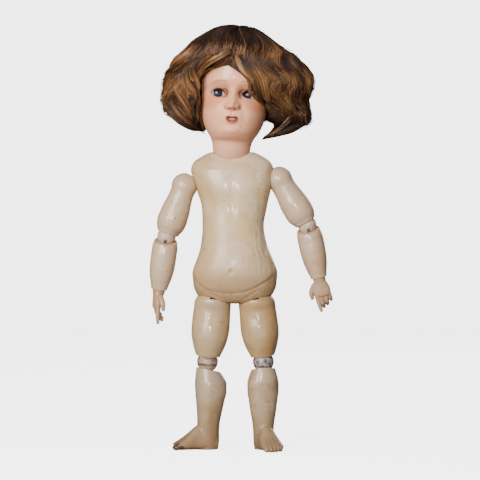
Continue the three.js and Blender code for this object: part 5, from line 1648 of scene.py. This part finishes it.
CORD_BODIES = {"arm_elastic": "arm_cord", "upper_arm_elastic": "upper_arm", "forearm_elastic": "forearm",
               "leg_elastic": "leg_cord", "thigh_elastic": "thigh"}
keep(torso, "rim", near_balls(torso, torso_balls, 4))
fit(torso, torso_finish, "torso", "composition", "torso_front", "torso_back")
for side in SIDES:
    upper_arm, elbow_ball, forearm, hand = arm_pieces[side]
    thigh, knee_ball, lower_leg = leg_pieces[side]
    elbow_ring, wrist_ring = (elbow[side][0], ELBOW_BALL), (wrist[side][0], WRIST_BALL)
    knee_ring, hip_ring = (knee[side][0], KNEE_BALL), (hip[side][0], HIP_BALL)
    keep(upper_arm, "rim", near_balls(upper_arm, [elbow_ring], 3.5))
    keep(forearm, "rim", near_balls(forearm, [elbow_ring, wrist_ring], 3.5))
    keep(hand, "rim", 0.4 * near_balls(hand, [wrist_ring], 2))
    keep(thigh, "rim", near_balls(thigh, [knee_ring], 5))
    keep(lower_leg, "rim", near_balls(lower_leg, [knee_ring], 6))
    at_toes = inside(points_of(lower_leg), foot[side]) * [SIDES[side], 1, 1] + [0, 0, SHIN]
    toe_gap = np.linalg.norm((at_toes - [-8.0, -35, 3]) / [1, 1.3, 1], axis=1)
    keep(lower_leg, "bare", (side == "right") * np.clip(1 - toe_gap / 10, 0, 1))
    # Where the toes part, a number for the painted shade in their clefts
    between_toes = np.min([np.abs(at_toes[:, 0] - x) for x in (-6.2, -2.1, 2.0, 6.1)], axis=0)
    keep(lower_leg, "groove", np.exp(-(between_toes / 0.6) ** 2) * smoothstep(-at_toes[:, 1], 21, 27))
    keep(knee_ball, "height", inside(points_of(knee_ball), knee[side])[:, 2])
    fit(upper_arm, arm_finish, f"upper_arm_{side}", "composition", f"upper_arm_{side}")
    fit(elbow_ball, elbow_finish, f"elbow_{side}", "painted_wood", f"elbow_ball_{side}")
    fit(forearm, arm_finish, f"forearm_{side}", "composition", f"forearm_{side}")
    fit(hand, hand_finish, f"hand_{side}", "composition", f"hand_{side}")
    fit(thigh, thigh_finish[side], f"thigh_{side}", "composition", f"thigh_{side}")
    fit(knee_ball, knee_finish[side], f"knee_{side}", "painted_wood", f"knee_ball_{side}")
    fit(lower_leg, shin_finish, f"lower_leg_{side}", "composition", f"lower_leg_{side}")
    for node, body in CORD_BODIES.items():
        fit(cords[side][node], cord_finish, f"{body}_{side}", "elastic_cord", f"{node}_{side}")
    fit(eye_pieces[side], eye_finish, "eyes", "eye_glass", f"eye_{side}")
fit(head, bisque_finish, "head", "bisque", "head")
fit(teeth, teeth_finish, "head", "enamel", "teeth")
fit(gauze_cap, cap_finish, "head", "gauze", "wig_cap")
fit(inner_hair, core_finish, "head", "mohair", "wig_crown", "wig_back", "wig_side_right", "wig_side_left",
    "wig_fringe")
for piece in hair_pieces:
    fit(piece, strand_finish, "head", "mohair")
plain_nodes = {
    wood_finish: ["pate", "neck_button", "shin_plug_right", "shin_plug_left"],
    plaster_finish: ["eye_pad_right", "eye_pad_left"],
    wire_finish: ["eye_bar", "neck_hook", "wrist_hook_right", "wrist_hook_left", "shin_hook_right",
                  "shin_hook_left"],
    lead_finish: ["eye_weight"],
}
for material, names in plain_nodes.items():
    for name in names:
        frame["nodes"][name].material_slots[0].material = material

# %% [markdown]
# ## The studio
# The doll stands on a plain pale floor that rises all round like a dish, so there is no edge to see from
# any side. The height of the dish at a distance r is max(0, r - 3000)^2 / 500 mm. A lamp near the camera
# gives the small bright lights on forehead, chest and thighs, and large soft ones fill the rest.

# %% Floor and lights
FLOOR_RADIUS = 3000
floor_line = np.linspace(-1.5 * FLOOR_RADIUS, 1.5 * FLOOR_RADIUS, 61)
floor_x, floor_y = np.meshgrid(floor_line, floor_line)
floor_z = np.maximum(np.hypot(floor_x, floor_y) - FLOOR_RADIUS, 0) ** 2 / 500
index = np.arange(floor_x.size).reshape(floor_x.shape)
tiles = np.stack([index[:-1, :-1], index[:-1, 1:], index[1:, 1:], index[1:, :-1]], -1).reshape(-1, 4)
floor_points = np.stack([floor_x, floor_y, floor_z], -1).reshape(-1, 3)
backdrop = mesh_object("studio_floor", floor_points, tiles)
backdrop.data.shade_smooth()
finish = Finish("studio_paper", {"Roughness": 0.9, "Emission Color": (1, 1, 1, 1), "Emission Strength": 4.0})
backdrop.data.materials.append(finish.done(Base_Color=(0.86, 0.86, 0.86)))
# It neither lights the doll nor shows in its varnish, so the doll's edges stay dark
backdrop.visible_diffuse = backdrop.visible_glossy = False
backdrop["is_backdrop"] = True


def lamp(name, place_mm, aim_mm, size_mm, watts):
    data = bpy.data.lights.new(name, "AREA")
    data.shape, data.size, data.size_y, data.energy = "RECTANGLE", size_mm[0] * MM, size_mm[1] * MM, watts
    light = bpy.data.objects.new(name, data)
    light.location = Vector(place_mm) * MM
    light.rotation_euler = (Vector(aim_mm) - Vector(place_mm)).to_track_quat("-Z", "Y").to_euler()
    bpy.context.scene.collection.objects.link(light)


lamp("key", (-900, -1740, 850), (0, 0, 250), (1000, 1000), 58)
lamp("flash", (-150, -1950, 400), (0, 0, 250), (95, 95), 15)
lamp("fill_left", (-1300, -1500, 700), (0, 0, 220), (900, 1200), 10)
lamp("fill_right", (900, -1900, 400), (0, 0, 220), (900, 1200), 3)
lamp("top", (-100, -300, 1900), (0, 0, 200), (1000, 800), 5)
lamp("back", (700, 1600, 900), (0, 0, 220), (900, 900), 9)
world = bpy.data.worlds.new("studio")
bpy.context.scene.world = world
world.use_nodes = True
world.node_tree.nodes["Background"].inputs["Color"].default_value = (1, 1, 1, 1)
world.node_tree.nodes["Background"].inputs["Strength"].default_value = 0.13
print("lamps:", len(bpy.data.lights))

# %% [markdown]
# The boxes of the solids and of the dressed doll are printed.

# %% Sizes
dressed_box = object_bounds()
for low, high in (solids_box, dressed_box):
    print([round(v * 1000, 1) for v in (*low, *high)])
